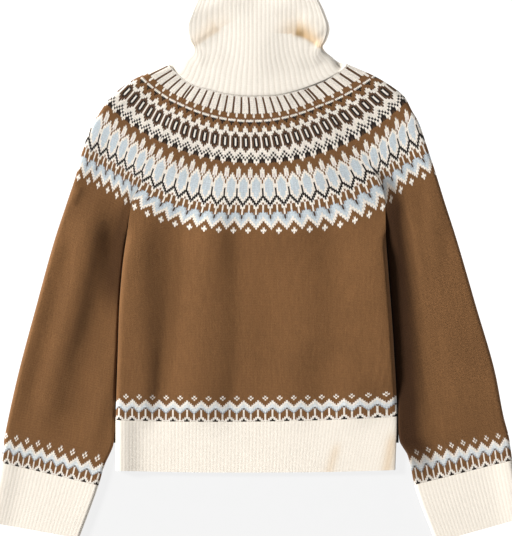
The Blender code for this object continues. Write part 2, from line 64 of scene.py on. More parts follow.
RIB_TOP = 521.6       # last course of the front above its rib
SLEEVE_RIB = 684.8    # last course of a sleeve above its cuff
CUFF_END = 780.8      # last course of a cuff

# Courses of the front: distance down the centre, the two ends, how far the middle
# hangs below the line between the ends, and how square that curve is.
FRONT_COLUMNS = ("course", "left_x", "left_y", "right_x", "right_y", "dip", "square")
FRONT_ROWS = (
    (0.0, -100.0, 273.0, 78.4, 268.4, 15.8, 2.0),
    (41.6, -123.2, 240.8, 103.7, 238.4, 26.6, 2.0),
    (76.8, -141.6, 211.2, 127.2, 213.6, 33.9, 2.1),
    (99.2, -150.4, 191.2, 144.6, 191.2, 35.2, 2.1),
    (121.6, -160.8, 168.0, 163.2, 168.0, 34.6, 2.2),
    (145.6, -172.0, 144.8, 176.8, 152.0, 39.2, 2.5),
    (179.2, -184.8, 115.2, 194.4, 124.0, 44.0, 2.8),
    (214.4, -200.0, 81.6, 207.2, 80.0, 40.8, 3.2),
    (248.0, -205.6, 41.6, 207.6, 38.4, 32.8, 3.0),
    (296.0, -213.9, -17.6, 211.7, -20.8, 23.2, 2.8),
    (360.0, -219.4, -89.6, 217.1, -91.2, 15.2, 2.6),
    (424.0, -221.6, -160.0, 221.6, -161.6, 8.8, 2.4),
    (484.0, -223.8, -224.8, 224.8, -220.6, 5.8, 2.2),
    (521.6, -224.8, -263.2, 225.8, -257.6, 5.4, 2.2),
    (600.8, -224.8, -344.0, 223.2, -343.2, 3.6, 2.4),
)

# Courses of the back, which lies flat below: its own raglan ends and neckline.
BACK_COLUMNS = ("course", "left_x", "left_y", "right_x", "right_y", "dip")
BACK_ROWS = (
    (0.0, -98.0, 311.0, 100.0, 311.0, -4.0),
    (60.0, -131.0, 244.0, 134.0, 244.0, -2.0),
    (130.0, -168.0, 163.0, 173.0, 163.0, 2.0),
    (214.4, -200.0, 81.6, 207.2, 80.0, 6.0),
    (248.0, -205.6, 41.6, 207.6, 38.4, 6.0),
    (296.0, -213.9, -17.6, 211.7, -20.8, 5.0),
    (360.0, -219.4, -89.6, 217.1, -91.2, 4.0),
    (424.0, -221.6, -160.0, 221.6, -161.6, 4.0),
    (484.0, -223.8, -224.8, 224.8, -220.6, 4.0),
    (521.6, -224.8, -263.2, 225.8, -257.6, 4.0),
    (600.8, -224.8, -344.0, 223.2, -343.2, 3.0),
)

# Courses of a sleeve: its outer fold, and how far the front bows down between the ends.
# Down to the armpit its inner end is the raglan seam.
SLEEVE_COLUMNS = ("course", "out_x", "out_y", "bow")
RIGHT_SLEEVE_ROWS = (
    (0.0, -140.0, 304.8, 3.0),
    (41.6, -188.0, 286.0, 4.5),
    (76.8, -215.2, 268.8, 7.0),
    (99.2, -236.0, 249.6, 6.0),
    (121.6, -248.0, 232.0, 3.0),
    (145.6, -264.0, 206.4, 0.0),
    (179.2, -277.6, 168.0, -3.0),
    (214.4, -288.8, 126.4, -5.0),
    (256.0, -302.1, 86.4, -4.0),
    (320.0, -322.7, 24.0, -3.0),
    (432.0, -352.8, -84.8, 0.0),
    (544.0, -381.6, -193.6, 0.0),
    (616.0, -397.6, -265.6, 0.0),
    (646.4, -403.2, -294.4, 0.0),
    (684.8, -408.8, -331.2, 0.0),
    (780.8, -428.0, -426.7, 0.0),
)
LEFT_SLEEVE_ROWS = (
    (0.0, 146.0, 306.5, 4.0),
    (41.6, 191.2, 286.5, 5.0),
    (76.8, 220.0, 268.8, 5.0),
    (99.2, 237.6, 254.4, 5.0),
    (121.6, 249.6, 232.0, 3.0),
    (145.6, 260.0, 214.4, 0.0),
    (179.2, 274.4, 172.8, -4.0),
    (214.4, 288.0, 131.2, -12.0),
    (256.0, 300.8, 89.6, -10.0),
    (320.0, 320.8, 27.2, -6.0),
    (432.0, 352.0, -80.0, -2.0),
    (544.0, 383.2, -188.8, 0.0),
    (616.0, 396.8, -259.2, 0.0),
    (646.4, 404.8, -289.6, 0.0),
    (684.8, 410.4, -327.4, 0.0),
    (780.8, 428.0, -420.0, 0.0),
)

# The fold under each arm, from the armpit to the wrist.
UNDERARM_COLUMNS = ("course", "in_x", "in_y")
RIGHT_UNDERARM_ROWS = (
    (214.4, -200.0, 81.6),
    (256.0, -207.0, 33.0),
    (320.0, -215.0, -27.0),
    (432.0, -221.0, -128.0),
    (544.0, -224.5, -235.2),
    (616.0, -227.5, -299.2),
    (646.4, -242.4, -336.0),
    (684.8, -252.0, -368.0),
    (780.8, -283.0, -452.8),
)
LEFT_UNDERARM_ROWS = (
    (214.4, 207.2, 80.0),
    (256.0, 208.5, 30.0),
    (320.0, 213.0, -30.0),
    (432.0, 219.5, -128.0),
    (544.0, 225.5, -235.2),
    (616.0, 229.0, -294.4),
    (646.4, 243.2, -321.6),
    (684.8, 253.6, -367.0),
    (780.8, 287.2, -459.2),
)
BESIDE = 1.0          # how far the fold under an arm stays outside the body's side fold

# The lines on which the roll neck is linked: to the front and sleeves, and behind.
NECKLINE_COLUMNS = ("x", "y")
NECKLINE_ROWS = (
    (-140.0, 304.8), (-130.4, 295.2), (-120.8, 285.8), (-108.0, 276.6),
    (-93.6, 270.6), (-77.6, 266.0), (-42.7, 258.0), (-6.1, 254.9), (30.7, 256.2),
    (59.4, 262.0), (92.0, 273.3), (120.5, 285.8), (138.9, 297.8), (146.0, 306.5),
)
BACK_NECKLINE_ROWS = (
    (-140.0, 304.8), (-98.0, 311.0), (-48.5, 314.0), (1.0, 315.0),
    (50.5, 314.0), (100.0, 311.0), (146.0, 306.5),
)

# Courses of the roll neck. share runs from the linked edge to the top. The front layer
# passes through its middle, the near and far end of the side crease and the side fold;
# w is how far each lies from mid_x, the same to either side, and z is its height.
NECK_COLUMNS = ("share", "mid_x", "mid_y", "mid_z", "near_w", "near_y", "near_z",
                "far_w", "far_y", "far_z", "side_w", "side_y", "side_z", "back_y")
NECK_ROWS = (
    (0.00, 3.0, 255.0, 9.0, 60.0, 263.5, 9.2, 100.0, 277.0, 10.5, 143.0, 305.5, 6.0, 315.0),
    (0.18, 3.0, 285.0, 14.0, 57.0, 296.0, 13.8, 89.0, 300.0, 13.0, 119.0, 317.5, 7.5, 331.0),
    (0.36, 2.4, 314.0, 18.5, 57.0, 329.0, 18.2, 88.0, 319.0, 16.5, 106.5, 329.0, 9.5, 347.0),
    (0.50, 2.4, 343.0, 21.5, 58.5, 361.0, 21.0, 94.0, 336.5, 18.5, 104.5, 334.5, 10.5, 362.0),
    (0.56, 2.4, 355.0, 22.3, 60.0, 368.0, 22.0, 97.0, 346.0, 20.5, 110.5, 344.0, 11.0, 369.0),
    (0.66, 2.4, 375.0, 23.0, 60.5, 384.0, 23.0, 98.0, 367.0, 22.5, 115.5, 362.0, 11.5, 384.0),
    (0.80, 2.4, 404.0, 24.0, 56.0, 407.0, 26.0, 88.0, 399.0, 25.0, 108.0, 388.0, 12.0, 410.0),
    (1.00, 0.8, 459.0, 21.0, 42.0, 459.0, 21.0, 60.0, 458.5, 20.5, 70.4, 458.0, 10.2, 459.0),
)
NECK_STATIONS = (0.0, 0.12, 0.27, 0.5, 0.73, 0.88, 1.0)
NECK_ROUND = 9.0      # how far in the roll neck's side fold is rounded

# Folds lying in the front cloth of each piece: three points that the fold passes
# through, how high it stands (below zero for a trough), its half width and how
# pointed it is (2 is soft, 1 is sharp).
FOLD_COLUMNS = ("piece", "x0", "y0", "x1", "y1", "x2", "y2", "height", "half_width", "point")
FOLD_ROWS = (
    ("front", -180.3, 128.5, -181.0, -106.6, -174.4, -288.1, 7.5, 24.0, 2.0),
    ("front", -124.9, 111.8, -135.6, -106.7, -171.6, -289.5, -4.2, 18.0, 1.7),
    ("front", -73.7, 111.8, -83.7, -106.7, -114.5, -289.5, 5.4, 29.0, 2.0),
    ("front", -38.6, 106.4, -29.9, -96.7, -45.1, -293.9, -5.6, 23.0, 1.8),
    ("front", -2.6, 106.4, 54.5, -96.7, 56.6, -293.9, 5.1, 38.0, 2.0),
    ("front", 64.4, 94.7, 88.7, -47.7, 102.6, -181.3, 7.4, 38.0, 2.0),
    ("front", 161.9, 111.8, 158.1, -106.7, 155.7, -289.5, 7.5, 38.0, 2.0),
    ("front", -76.8, 106.4, -34.9, -96.7, -88.3, -293.9, 7.2, 38.0, 2.0),
    ("right_sleeve", -250.6, 114.4, -299.4, -91.6, -357.8, -316.8, 7.5, 26.0, 2.0),
    ("right_sleeve", -220.7, 114.4, -256.6, -91.6, -398.8, -316.8, -5.1, 38.0, 1.7),
    ("right_sleeve", -262.7, 115.6, -244.0, -101.7, -271.7, -357.6, 1.5, 20.0, 2.0),
    ("right_sleeve", -302.7, 53.9, -348.3, -91.3, -395.9, -294.4, 4.6, 18.0, 2.0),
    ("right_sleeve", -288.8, 114.4, -285.3, -91.6, -370.7, -316.8, 7.5, 33.0, 2.0),
    ("right_sleeve", -214.9, 115.6, -211.3, -101.7, -286.9, -357.6, 1.9, 13.0, 2.0),
    ("left_sleeve", 228.3, 114.4, 260.2, -91.6, 292.2, -316.8, -7.0, 8.0, 1.6),
    ("left_sleeve", 285.7, 114.4, 294.2, -91.6, 343.3, -316.8, 2.7, 16.0, 2.0),
    ("left_sleeve", 339.2, 152.9, 291.0, -61.8, 333.6, -334.4, -2.4, 23.0, 2.0),
    ("left_sleeve", 280.4, 133.4, 314.3, -91.5, 375.3, -297.2, 2.4, 19.0, 2.0),
    ("right_sleeve", -281.0, 112.0, -288.0, 95.0, -297.0, 78.0, 3.0, 7.0, 2.0),
)


# ---------------------------------------------------------------- curves
def smooth_curve(at, values):
    """A curve through (at, values) with no overshoot between the points."""
    at = np.asarray(at, float)
    values = np.asarray(values, float)
    step = np.diff(at)
    slope = np.diff(values) / step
    tangent = np.zeros(len(at))
    tangent[0], tangent[-1] = slope[0], slope[-1]
    for i in range(1, len(at) - 1):
        if slope[i - 1] * slope[i] > 0:
            a = 2 * step[i] + step[i - 1]
            b = step[i] + 2 * step[i - 1]
            tangent[i] = (a + b) / (a / slope[i - 1] + b / slope[i])

    def read(x):
        x = np.clip(np.asarray(x, float), at[0], at[-1])
        k = np.clip(np.searchsorted(at, x, side="right") - 1, 0, len(at) - 2)
        h = step[k]
        t = (x - at[k]) / h
        return (
            values[k] * (1 + 2 * t) * (1 - t) ** 2
            + tangent[k] * h * t * (1 - t) ** 2
            + values[k + 1] * t * t * (3 - 2 * t)
            - tangent[k + 1] * h * t * t * (1 - t)
        )

    return read


def table(columns, rows):
    """One smooth curve for each column, read by the first column."""
    data = list(zip(*rows))
    return {name: smooth_curve(data[0], data[i]) for i, name in enumerate(columns)}


def ease(t):
    t = np.clip(t, 0.0, 1.0)
    return t * t * (3 - 2 * t)


FRONT = table(FRONT_COLUMNS, FRONT_ROWS)
BACK = table(BACK_COLUMNS, BACK_ROWS)
SLEEVE = {"right_sleeve": table(SLEEVE_COLUMNS, RIGHT_SLEEVE_ROWS),
          "left_sleeve": table(SLEEVE_COLUMNS, LEFT_SLEEVE_ROWS)}
UNDERARM = {"right_sleeve": table(UNDERARM_COLUMNS, RIGHT_UNDERARM_ROWS),
            "left_sleeve": table(UNDERARM_COLUMNS, LEFT_UNDERARM_ROWS)}
SEAM_END = {"right_sleeve": ("left_x", "left_y"), "left_sleeve": ("right_x", "right_y")}
OUTWARD = {"right_sleeve": -1.0, "left_sleeve": 1.0}
NECKLINE = table(NECKLINE_COLUMNS, NECKLINE_ROWS)["y"]
BACK_NECKLINE = table(NECKLINE_COLUMNS, BACK_NECKLINE_ROWS)["y"]
NECK = table(NECK_COLUMNS, NECK_ROWS)


def curled(course):
    """0 where an edge is a raglan seam, 1 where it is a full side fold."""
    return float(ease((course - ARMPIT) / CURL_RUN))


def body_side(side, y):
    """x of the body's side fold at a height y, below the armpit."""
    courses = np.linspace(ARMPIT, 600.8, 240)
    name_x, name_y = SEAM_END[side]
    return np.interp(-y, -FRONT[name_y](courses), FRONT[name_x](courses))


# ---------------------------------------------------------------- where the courses run
def front_course(course, u):
    """Plan of a course of the front; u runs from its end at -X to its end at +X."""
    f = {k: float(FRONT[k](course)) for k in FRONT_COLUMNS}
    x = f["left_x"] + (f["right_x"] - f["left_x"]) * u
    chord = f["left_y"] + (f["right_y"] - f["left_y"]) * u
    y = chord - f["dip"] * (1 - np.abs(2 * u - 1) ** f["square"])
    near = float(1 - ease(course / 40.0))
    if near > 0:
        x0 = FRONT_ROWS[0][1] + (FRONT_ROWS[0][3] - FRONT_ROWS[0][1]) * u
        chord0 = FRONT_ROWS[0][2] + (FRONT_ROWS[0][4] - FRONT_ROWS[0][2]) * u
        y = (1 - near) * y + near * (chord - (chord0 - NECKLINE(x0)) * f["dip"] / FRONT_ROWS[0][5])
    return x, y


def back_course(course, u):
    f = {k: float(BACK[k](course)) for k in BACK_COLUMNS}
    x = f["left_x"] + (f["right_x"] - f["left_x"]) * u
    y = f["left_y"] + (f["right_y"] - f["left_y"]) * u - f["dip"] * (1 - (2 * u - 1) ** 2)
    return x, y


def sleeve_ends(side, course, behind):
    """Plan of a sleeve course's inner end and outer fold."""
    name_x, name_y = SEAM_END[side]
    if course <= ARMPIT:
        seam = BACK if behind else FRONT
        inner = float(seam[name_x](course)), float(seam[name_y](course))
    else:
        x = float(UNDERARM[side]["in_x"](course))
        y = float(UNDERARM[side]["in_y"](course))
        out = OUTWARD[side]
        beside = float(body_side(side, y)) + out * BESIDE * float(ease((course - ARMPIT) / 25.0))
        inner = out * max(out * x, out * beside), y
    return inner, (float(SLEEVE[side]["out_x"](course)), float(SLEEVE[side]["out_y"](course)))


def sleeve_course(side, course, u, behind=False):
    """u is 0 at the inner end and 1 at the outer fold."""
    (ix, iy), (ox, oy) = sleeve_ends(side, course, behind)
    x = ix + (ox - ix) * u
    y = iy + (oy - iy) * u
    if not behind:
        y = y - float(SLEEVE[side]["bow"](course)) * 4 * u * (1 - u)
        near = float(1 - ease(course / 40.0))
        if near > 0:
            (ix, iy), (ox, oy) = sleeve_ends(side, 0.0, False)
            straight = iy + (oy - iy) * u - float(SLEEVE[side]["bow"](0.0)) * 4 * u * (1 - u)
            y = y + near * (NECKLINE(ix + (ox - ix) * u) - straight)
    return x, y


# ---------------------------------------------------------------- heights of the front cloth
def fold_heights(piece, x, y):
    total = np.zeros(np.shape(x))
    for name, x0, y0, x1, y1, x2, y2, height, half, point in FOLD_ROWS:
        if name != piece:
            continue
        best = np.full(total.shape, 1e9)
        along = np.zeros(total.shape)
        last = None
        for n in range(13):
            t = n / 12
            a, b, c = (1 - t) * (1 - 2 * t), 4 * t * (1 - t), t * (2 * t - 1)
            p = (a * x0 + b * x1 + c * x2, a * y0 + b * y1 + c * y2)
            if last is not None:
                dx, dy = p[0] - last[0], p[1] - last[1]
                s = np.clip(((x - last[0]) * dx + (y - last[1]) * dy) / (dx * dx + dy * dy), 0, 1)
                d = np.hypot(x - last[0] - s * dx, y - last[1] - s * dy)
                closer = d < best
                best = np.where(closer, d, best)
                along = np.where(closer, (n - 1 + s) / 12, along)
            last = p
        fade = ease(along / 0.22) * ease((1 - along) / 0.22)
        total = total + height * fade * np.exp(-((best / half) ** point))
    return total


def lie_on(height):
    """Keeps the cloth from sinking into the layer below it, softly."""
    over = height - LOWEST
    return LOWEST + 0.5 * (over + np.sqrt(over * over + 1.2))


def front_height(course, x, y, from_left, from_right):
    lift = (BODY_EDGE - BASE) * np.exp(-((np.maximum(from_left - BODY_ROUND, 0) / 24.0) ** 2))
    brow = BODY_BROW + (HEM_BROW - BODY_BROW) * float(ease((course - 440.0) / 90.0))
    lift = lift + (brow - BASE) * np.exp(-((np.maximum(from_right - BODY_ROUND, 0) / 36.0) ** 2))
    return lie_on(BASE + curled(course) * lift + fold_heights("front", x, y))


def sleeve_height(side, course, x, y, from_in, from_out):
    lift_out = (SLEEVE_EDGE - BASE) * np.exp(-((np.maximum(from_out - SLEEVE_ROUND, 0) / 22.0) ** 2))
    lift_in = (UNDER_EDGE - BASE) * np.exp(-((np.maximum(from_in - UNDER_ROUND, 0) / 18.0) ** 2))
    return lie_on(BASE + lift_out + curled(course) * lift_in + fold_heights(side, x, y))


# ---------------------------------------------------------------- cloth as two faces
def side_fold(steps, c, round_in, spread):
    """Round a side fold that is curled by the share c, from its outermost line in:
    distances in of the outer and inner faces, and the share of the way up."""
    j = np.arange(steps + 1)
    start = (1 - c) * math.pi / 2
    turn = start + c * math.pi / 2 * j / steps
    slack = (1 - c) * j * spread
    outer = round_in * (math.cos(start) - np.cos(turn)) + slack
    inner = round_in * math.cos(start) - (round_in - WALL) * np.cos(turn) + slack
    return outer, inner, np.sin(turn)


# ---------------------------------------------------------------- knitting
YOKE_ROW = 3.3        # height of a row of stitches in the yoke's bands, mm
YOKE_ROWS = 67        # rows charted in the yoke
HEM_ROW = 2.43        # height of a row in the bands above the ribs
HEM_ROWS = 17
HEM_START = 168       # row number at which those bands start
SLEEVE_ROW = {"right_sleeve": 2.92, "left_sleeve": 2.72}
RIB_PITCH = 5.65      # of the ribs at the hem and cuffs
RIB_DEPTH = 0.085
SEAM = 0.06           # the pieces are knitted on to each other, so they meet closely

# Where the pattern's repeats fall along a course: the repeat at each end, the share
# of the way along at which repeat 0 lies, all round from -X to +X.
REPEAT_COLUMNS = ("course", "first", "at", "last", "bend_first", "bend_last")
FRONT_REPEATS = (
    (0.0, -8.13, 0.494, 8.20, 0.0, 0.0), (24.0, -8.10, 0.5005, 8.05, 0.0, 0.0),
    (74.0, -8.24, 0.4986, 8.44, 0.0, 0.0), (97.0, -8.45, 0.484, 8.64, 0.0, 0.0),
    (121.0, -8.42, 0.469, 9.24, 0.0, 0.0), (151.0, -8.48, 0.4624, 9.43, 0.0, 0.0),
    (185.0, -8.60, 0.457, 9.50, 0.0, 0.0), (213.0, -8.28, 0.462, 9.20, 0.0, 0.0),
    (460.0, -9.76, 0.4803, 9.54, 0.11, 0.36), (600.8, -9.76, 0.4803, 9.54, 0.11, 0.36),
)
BACK_REPEATS = (
    (0.0, -8.2, 0.5, 8.2, 0.0, 0.0), (74.0, -8.4, 0.5, 8.4, 0.0, 0.0), (121.0, -9.0, 0.5, 9.0, 0.0, 0.0),
    (213.0, -8.9, 0.5, 8.9, 0.0, 0.0), (460.0, -9.55, 0.5, 9.55, 0.0, 0.0),
    (600.8, -9.55, 0.5, 9.55, 0.0, 0.0),
)
SLEEVE_REPEAT_COLUMNS = ("course", "inner", "outer", "bend")
SLEEVE_REPEATS = {
    "right_sleeve": (
        (0.0, -0.30, 5.11, 0.0), (24.0, -0.23, 5.40, 0.0), (43.0, 0.155, 5.68, 0.0),
        (73.0, 0.394, 6.15, 0.0), (96.0, 0.527, 6.32, 0.0), (122.0, 0.70, 6.76, 0.0),
        (151.0, 0.65, 7.11, 0.0), (180.0, 0.69, 7.35, 0.0), (213.0, 1.40, 7.30, 0.0),
        (600.0, 0.294, 9.12, -0.28), (780.8, 0.294, 9.12, -0.28)),
    "left_sleeve": (
        (0.0, -1.19, 4.39, 0.0), (24.0, -1.26, 4.70, 0.0), (43.0, -0.85, 4.94, 0.0),
        (73.0, -0.50, 5.30, 0.0), (94.0, -0.42, 5.33, 0.0), (122.0, 0.25, 5.58, 0.0),
        (151.0, 0.82, 6.33, 0.0), (180.0, 1.35, 6.30, 0.0), (213.0, 1.38, 5.93, 0.0),
        (600.0, -0.834, 7.89, 0.0), (780.8, -0.834, 7.89, 0.0)),
}

# Ribs of the roll neck from the middle of the front to the crease and the side fold.
NECK_RIB_COLUMNS = ("share", "near", "far", "side")
NECK_RIB_ROWS = (
    (0.00, 6.1, 10.4, 15.5), (0.18, 6.8, 10.9, 15.5), (0.36, 7.9, 11.8, 15.5),
    (0.50, 8.5, 12.4, 15.5), (0.56, 8.7, 12.7, 15.5), (0.66, 8.8, 13.0, 15.5),
    (0.80, 8.3, 12.4, 15.5), (1.00, 8.0, 12.2, 15.5),
)

# Creases in the roll neck: three points from the inner end to the outer, height (below
# zero for a groove), half width, how pointed, and how deep the warm shade painted there is.
NECK_FOLD_COLUMNS = ("x0", "y0", "x1", "y1", "x2", "y2", "height", "half_width", "point", "shade")
NECK_FOLDS = (
    (61.0, 354.0, 80.0, 349.0, 101.0, 334.0, -3.4, 6.0, 1.7, 1.0),
    (64.0, 380.0, 88.0, 370.0, 108.0, 350.0, 1.4, 11.0, 2.0, 0.0),
    (-58.0, 362.0, -76.0, 351.0, -98.0, 336.0, 0.8, 10.0, 2.0, 0.42),
)

# Where the ribs of the hem lean together, low at the right of the front: top and
# bottom of each place, half width and strength of the warm shade painted there.
HEM_LEAN = 0.22       # of the ribs at the right edge
HEM_PAINTED_SHADES = (
    (133.0, -292.0, 116.0, -350.0, 8.0, 0.30),
    (222.0, -272.0, 208.0, -350.0, 9.0, 0.42),
)

# A shadow painted on each sleeve beside the body, where the body's edge shades it: how far
# it fades, how near it is full, the courses it starts and ends at, and its strength.
SLEEVE_PAINTED_SHADOW_COLUMNS = ("fade", "full", "start", "end", "strength")
SLEEVE_PAINTED_SHADOWS = {"right_sleeve": (30.0, 15.0, 184.0, 420.0, 0.66), "left_sleeve": (32.0, 22.0, 152.0, 700.0, 0.90)}

# The charts, half a repeat to each row from the column of drops or crosses to the
# column midway: c cream, b brown, e and d darker browns, k black, l light blue, w paler, g grey blue,
# p pale. Each row of the yoke is read with 4, 6 or 8 stitches to the repeat.
YOKE_CHART = """
ccc ecc ecc ecc ecc ecc ecc ecc ecc bbc bbc bbbb cccb
kkbb kbbb bbbc bbcc becc ccce ccee cedk cekc cekc cekc cekc cedk ccee ccce
kccc ckcc kckc kkck dkcc bbbc
bbbbb cbbbb ccbbb ccbbb pcbbc pcbcc cbccl bccll bclll cclll cclll
kclll kclll kccll kccll kkccl ckkcc cckkc bcckk cbbck cbbcc cbbbc
lbbbc llgbc lllgd cllgd ccllg bccll bbccl bbbcc cbbbc ccbbb cbbbb
""".split()
HEM_CHART = """
cbbbb bcbbb cbbbb bbbbc bbbcc bbccw bccww ccwww wwwgd wwgbc
wgbbc gbbbc cbbbc cbbbc cbbcc cbcck ccckk
""".split()
YARNS = {
    "b": (0.203, 0.096, 0.036),
    "d": (0.070, 0.038, 0.022),
    "e": (0.120, 0.062, 0.032),
    "k": (0.020, 0.014, 0.012),
    "n": (0.16, 0.16, 0.18),
    "c": (0.90, 0.83, 0.74),
    "p": (0.77, 0.675, 0.635),
    "l": (0.60, 0.66, 0.70),
    "w": (0.76, 0.78, 0.78),
    "g": (0.42, 0.46, 0.49),
}


def rows_at(course, seam, height):
    """Row number at a course: yoke, plain rows, then the band above the rib's seam."""
    band = seam - height * HEM_ROWS
    return np.interp(course, [0.0, YOKE_ROW * (YOKE_ROWS - 0.5), band, band + height * 80],
                     [0.5, YOKE_ROWS, HEM_START, HEM_START + 80])


def along(x, y):
    """Share of the way along a course, by its length in plan."""
    run = np.concatenate([[0.0], np.cumsum(np.hypot(np.diff(x), np.diff(y)))])
    return run / run[-1]


def body_sheet(courses, middle, steps, back=False):
    """Outer and inner face of the front or back, and repeats and rows at each point."""
    run = back_course if back else front_course
    repeats = table(REPEAT_COLUMNS, BACK_REPEATS if back else FRONT_REPEATS)
    outer, inner, count, row = [], [], [], []
    for course in courses:
        c = curled(course)
        (x0, x1), (y0, y1) = run(course, np.array([0.0, 1.0]))
        width = math.hypot(x1 - x0, y1 - y0)
        out_d, in_d, up = side_fold(steps, c, BODY_ROUND, 2.5 * 3 / steps)
        out_d, in_d = out_d + GAP / 2, in_d + GAP / 2
        reach = out_d[-1]
        flat = reach + (width - 2 * reach) * np.arange(1, middle) / middle
        d_out = np.concatenate([out_d, flat, (width - out_d)[::-1]])
        d_in = np.concatenate([in_d, flat, (width - in_d)[::-1]])
        rise = np.concatenate([up, np.ones(middle - 1), up[::-1]])
        seam = c * (1 - rise) * GAP / 2
        xo, yo = run(course, d_out / width)
        xi, yi = run(course, d_in / width)
        if back:
            zo = BODY_MID * (1 - rise) - seam
            zi = BODY_MID - (BODY_MID - WALL) * rise - seam
        else:
            top = front_height(course, xo, yo, d_out, width - d_out)
            zo = BODY_MID + (top - BODY_MID) * rise + seam
            zi = BODY_MID + (top - WALL - BODY_MID) * rise + seam
        outer.append(np.stack([xo, yo, zo], 1))
        inner.append(np.stack([xi, yi, zi], 1))
        r = {k: float(repeats[k](course)) for k in REPEAT_COLUMNS}
        t = along(xo, yo)
        t = np.where(t < r["at"], t / r["at"] - 1, (t - r["at"]) / (1 - r["at"]))
        bend = (np.sin(math.pi * np.abs(t)) - 0.3 * np.sin(2 * math.pi * np.abs(t))) * np.where(t < 0, r["bend_first"], r["bend_last"])
        count.append(np.where(t < 0, -r["first"], r["last"]) * t + bend)
        row.append(np.full(len(t), float(rows_at(course, RIB_TOP, HEM_ROW))))
    return np.array(outer), np.array(inner), np.array(count), np.array(row)


def sleeve_sheet(side, courses, middle, behind, steps, turns):
    """The sheet round an arm: in front from the inner end to the outer fold, then back."""
    repeats = table(SLEEVE_REPEAT_COLUMNS, SLEEVE_REPEATS[side])
    outer, inner, count, row = [], [], [], []
    for course in courses:
        c = curled(course)
        row_out, row_in, row_count = [], [], []
        r = {k: float(repeats[k](course)) for k in SLEEVE_REPEAT_COLUMNS}
        for back in (False, True):
            (x0, x1), (y0, y1) = sleeve_course(side, course, np.array([0.0, 1.0]), back)
            length = math.hypot(x1 - x0, y1 - y0)
            end_out, end_in, end_up = side_fold(steps, c, UNDER_ROUND, 2.0 * 3 / steps)
            end_out, end_in = end_out + GAP / 2, end_in + GAP / 2
            fold_out, fold_in, fold_up = side_fold(turns, 1.0, SLEEVE_ROUND, 0.0)
            n = behind if back else middle
            flat = end_out[-1] + (length - end_out[-1] - fold_out[-1]) * np.arange(1, n) / n
            d_out = np.concatenate([end_out, flat, (length - fold_out)[::-1]])
            d_in = np.concatenate([end_in, flat, (length - fold_in)[::-1]])
            rise = np.concatenate([end_up, np.ones(n - 1), fold_up[::-1]])
            level = np.concatenate([np.full(steps + 1, UNDER_MID),
                                    np.linspace(UNDER_MID, SLEEVE_MID, n + 1)[1:-1],
                                    np.full(turns + 1, SLEEVE_MID)])
            seam = np.zeros(len(rise))
            seam[:steps + 1] = c * (1 - end_up) * GAP / 2
            xo, yo = sleeve_course(side, course, d_out / length, back)
            xi, yi = sleeve_course(side, course, d_in / length, back)
            if back:
                zo = level * (1 - rise) - seam
                zi = level - (level - WALL) * rise - seam
            else:
                top = sleeve_height(side, course, xo, yo, d_out, length - d_out)
                zo = level + (top - level) * rise + seam
                zi = level + (top - WALL - level) * rise + seam
            points_out = np.stack([xo, yo, zo], 1)
            points_in = np.stack([xi, yi, zi], 1)
            t = along(xo, yo)
            bend = 0.0 if back else r["bend"] * np.sin(math.pi * t)
            here = r["inner"] + (r["outer"] - r["inner"]) * (2 - t if back else t) + bend
            if back:
                points_out, points_in, here = (p[::-1][1:] for p in (points_out, points_in, here))
            row_out.append(points_out)
            row_in.append(points_in)
            row_count.append(here)
        outer.append(np.concatenate(row_out))
        inner.append(np.concatenate(row_in))
        count.append(np.concatenate(row_count))
        row.append(np.full(len(count[-1]), float(rows_at(course, SLEEVE_RIB, SLEEVE_ROW[side]))))
    return np.array(outer), np.array(inner), np.array(count), np.array(row)


def near_path(x, y, row):
    """Distance from a crease, how far along it, and whether above it in plan."""
    best = np.full(np.shape(x), 1e9)
    share = np.zeros(np.shape(x))
    above = np.zeros(np.shape(x), bool)
    t = np.linspace(0, 1, 17)
    px = (1 - t) * (1 - 2 * t) * row[0] + 4 * t * (1 - t) * row[2] + t * (2 * t - 1) * row[4]
    py = (1 - t) * (1 - 2 * t) * row[1] + 4 * t * (1 - t) * row[3] + t * (2 * t - 1) * row[5]
    for n in range(16):
        dx, dy = px[n + 1] - px[n], py[n + 1] - py[n]
        k = np.clip(((x - px[n]) * dx + (y - py[n]) * dy) / (dx * dx + dy * dy), 0, 1)
        d = np.hypot(x - px[n] - k * dx, y - py[n] - k * dy)
        turn = (dx * (y - py[n]) - dy * (x - px[n])) * np.sign(dx)
        share = np.where(d < best, (n + k) / 16, share)
        above = np.where(d < best, turn > 0, above)
        best = np.minimum(best, d)
    return best, share, above


def painted_sleeve_shadow(side, outer, row_courses):
    """A shadow painted on the sleeve where it lies beside the body, in front only."""
    far, near, start, end, strength = SLEEVE_PAINTED_SHADOWS[side]
    inner_end = outer[:, :1, :2]
    d = np.hypot(outer[..., 0] - inner_end[..., 0], outer[..., 1] - inner_end[..., 1])
    front = np.cumsum(np.ones(outer.shape[:2]), axis=1) < outer.shape[1] * 0.6
    grow = ease((row_courses - start) / 90.0)[:, None]
    fade = ease((row_courses - start) / 30.0)[:, None] * ease((end - row_courses) / 80.0)[:, None]
    return strength * fade * (0.5 + 0.5 * grow) * (1 - ease((d - near * grow) / (far * (0.35 + 0.65 * grow)))) * front


def neck_folds(x, y):
    """The creases that the roll neck folds over at, each with the bulge above it."""
    total = np.zeros(np.shape(x))
    for row in NECK_FOLDS:
        far, share, _ = near_path(x, y, row)
        total += row[6] * ease(share / 0.45) * ease((1 - share) / 0.2) * np.exp(-((far / row[7]) ** row[8]))
    return total


def painted_neck_crease_shade(x, y):
    """Warm shade painted into the roll neck's creases, strongest at their inner ends."""
    total = np.zeros(np.shape(x))
    for row in NECK_FOLDS:
        far, share, above = near_path(x, y, row)
        reach = np.where(above, 21.0 - 9.0 * share, 3.4)
        total += row[9] * (0.5 + 0.5 * ease(share / 0.15)) * (1 - 0.4 * share) * np.exp(-((far / reach) ** 2))
    return np.clip(total, 0, 1)
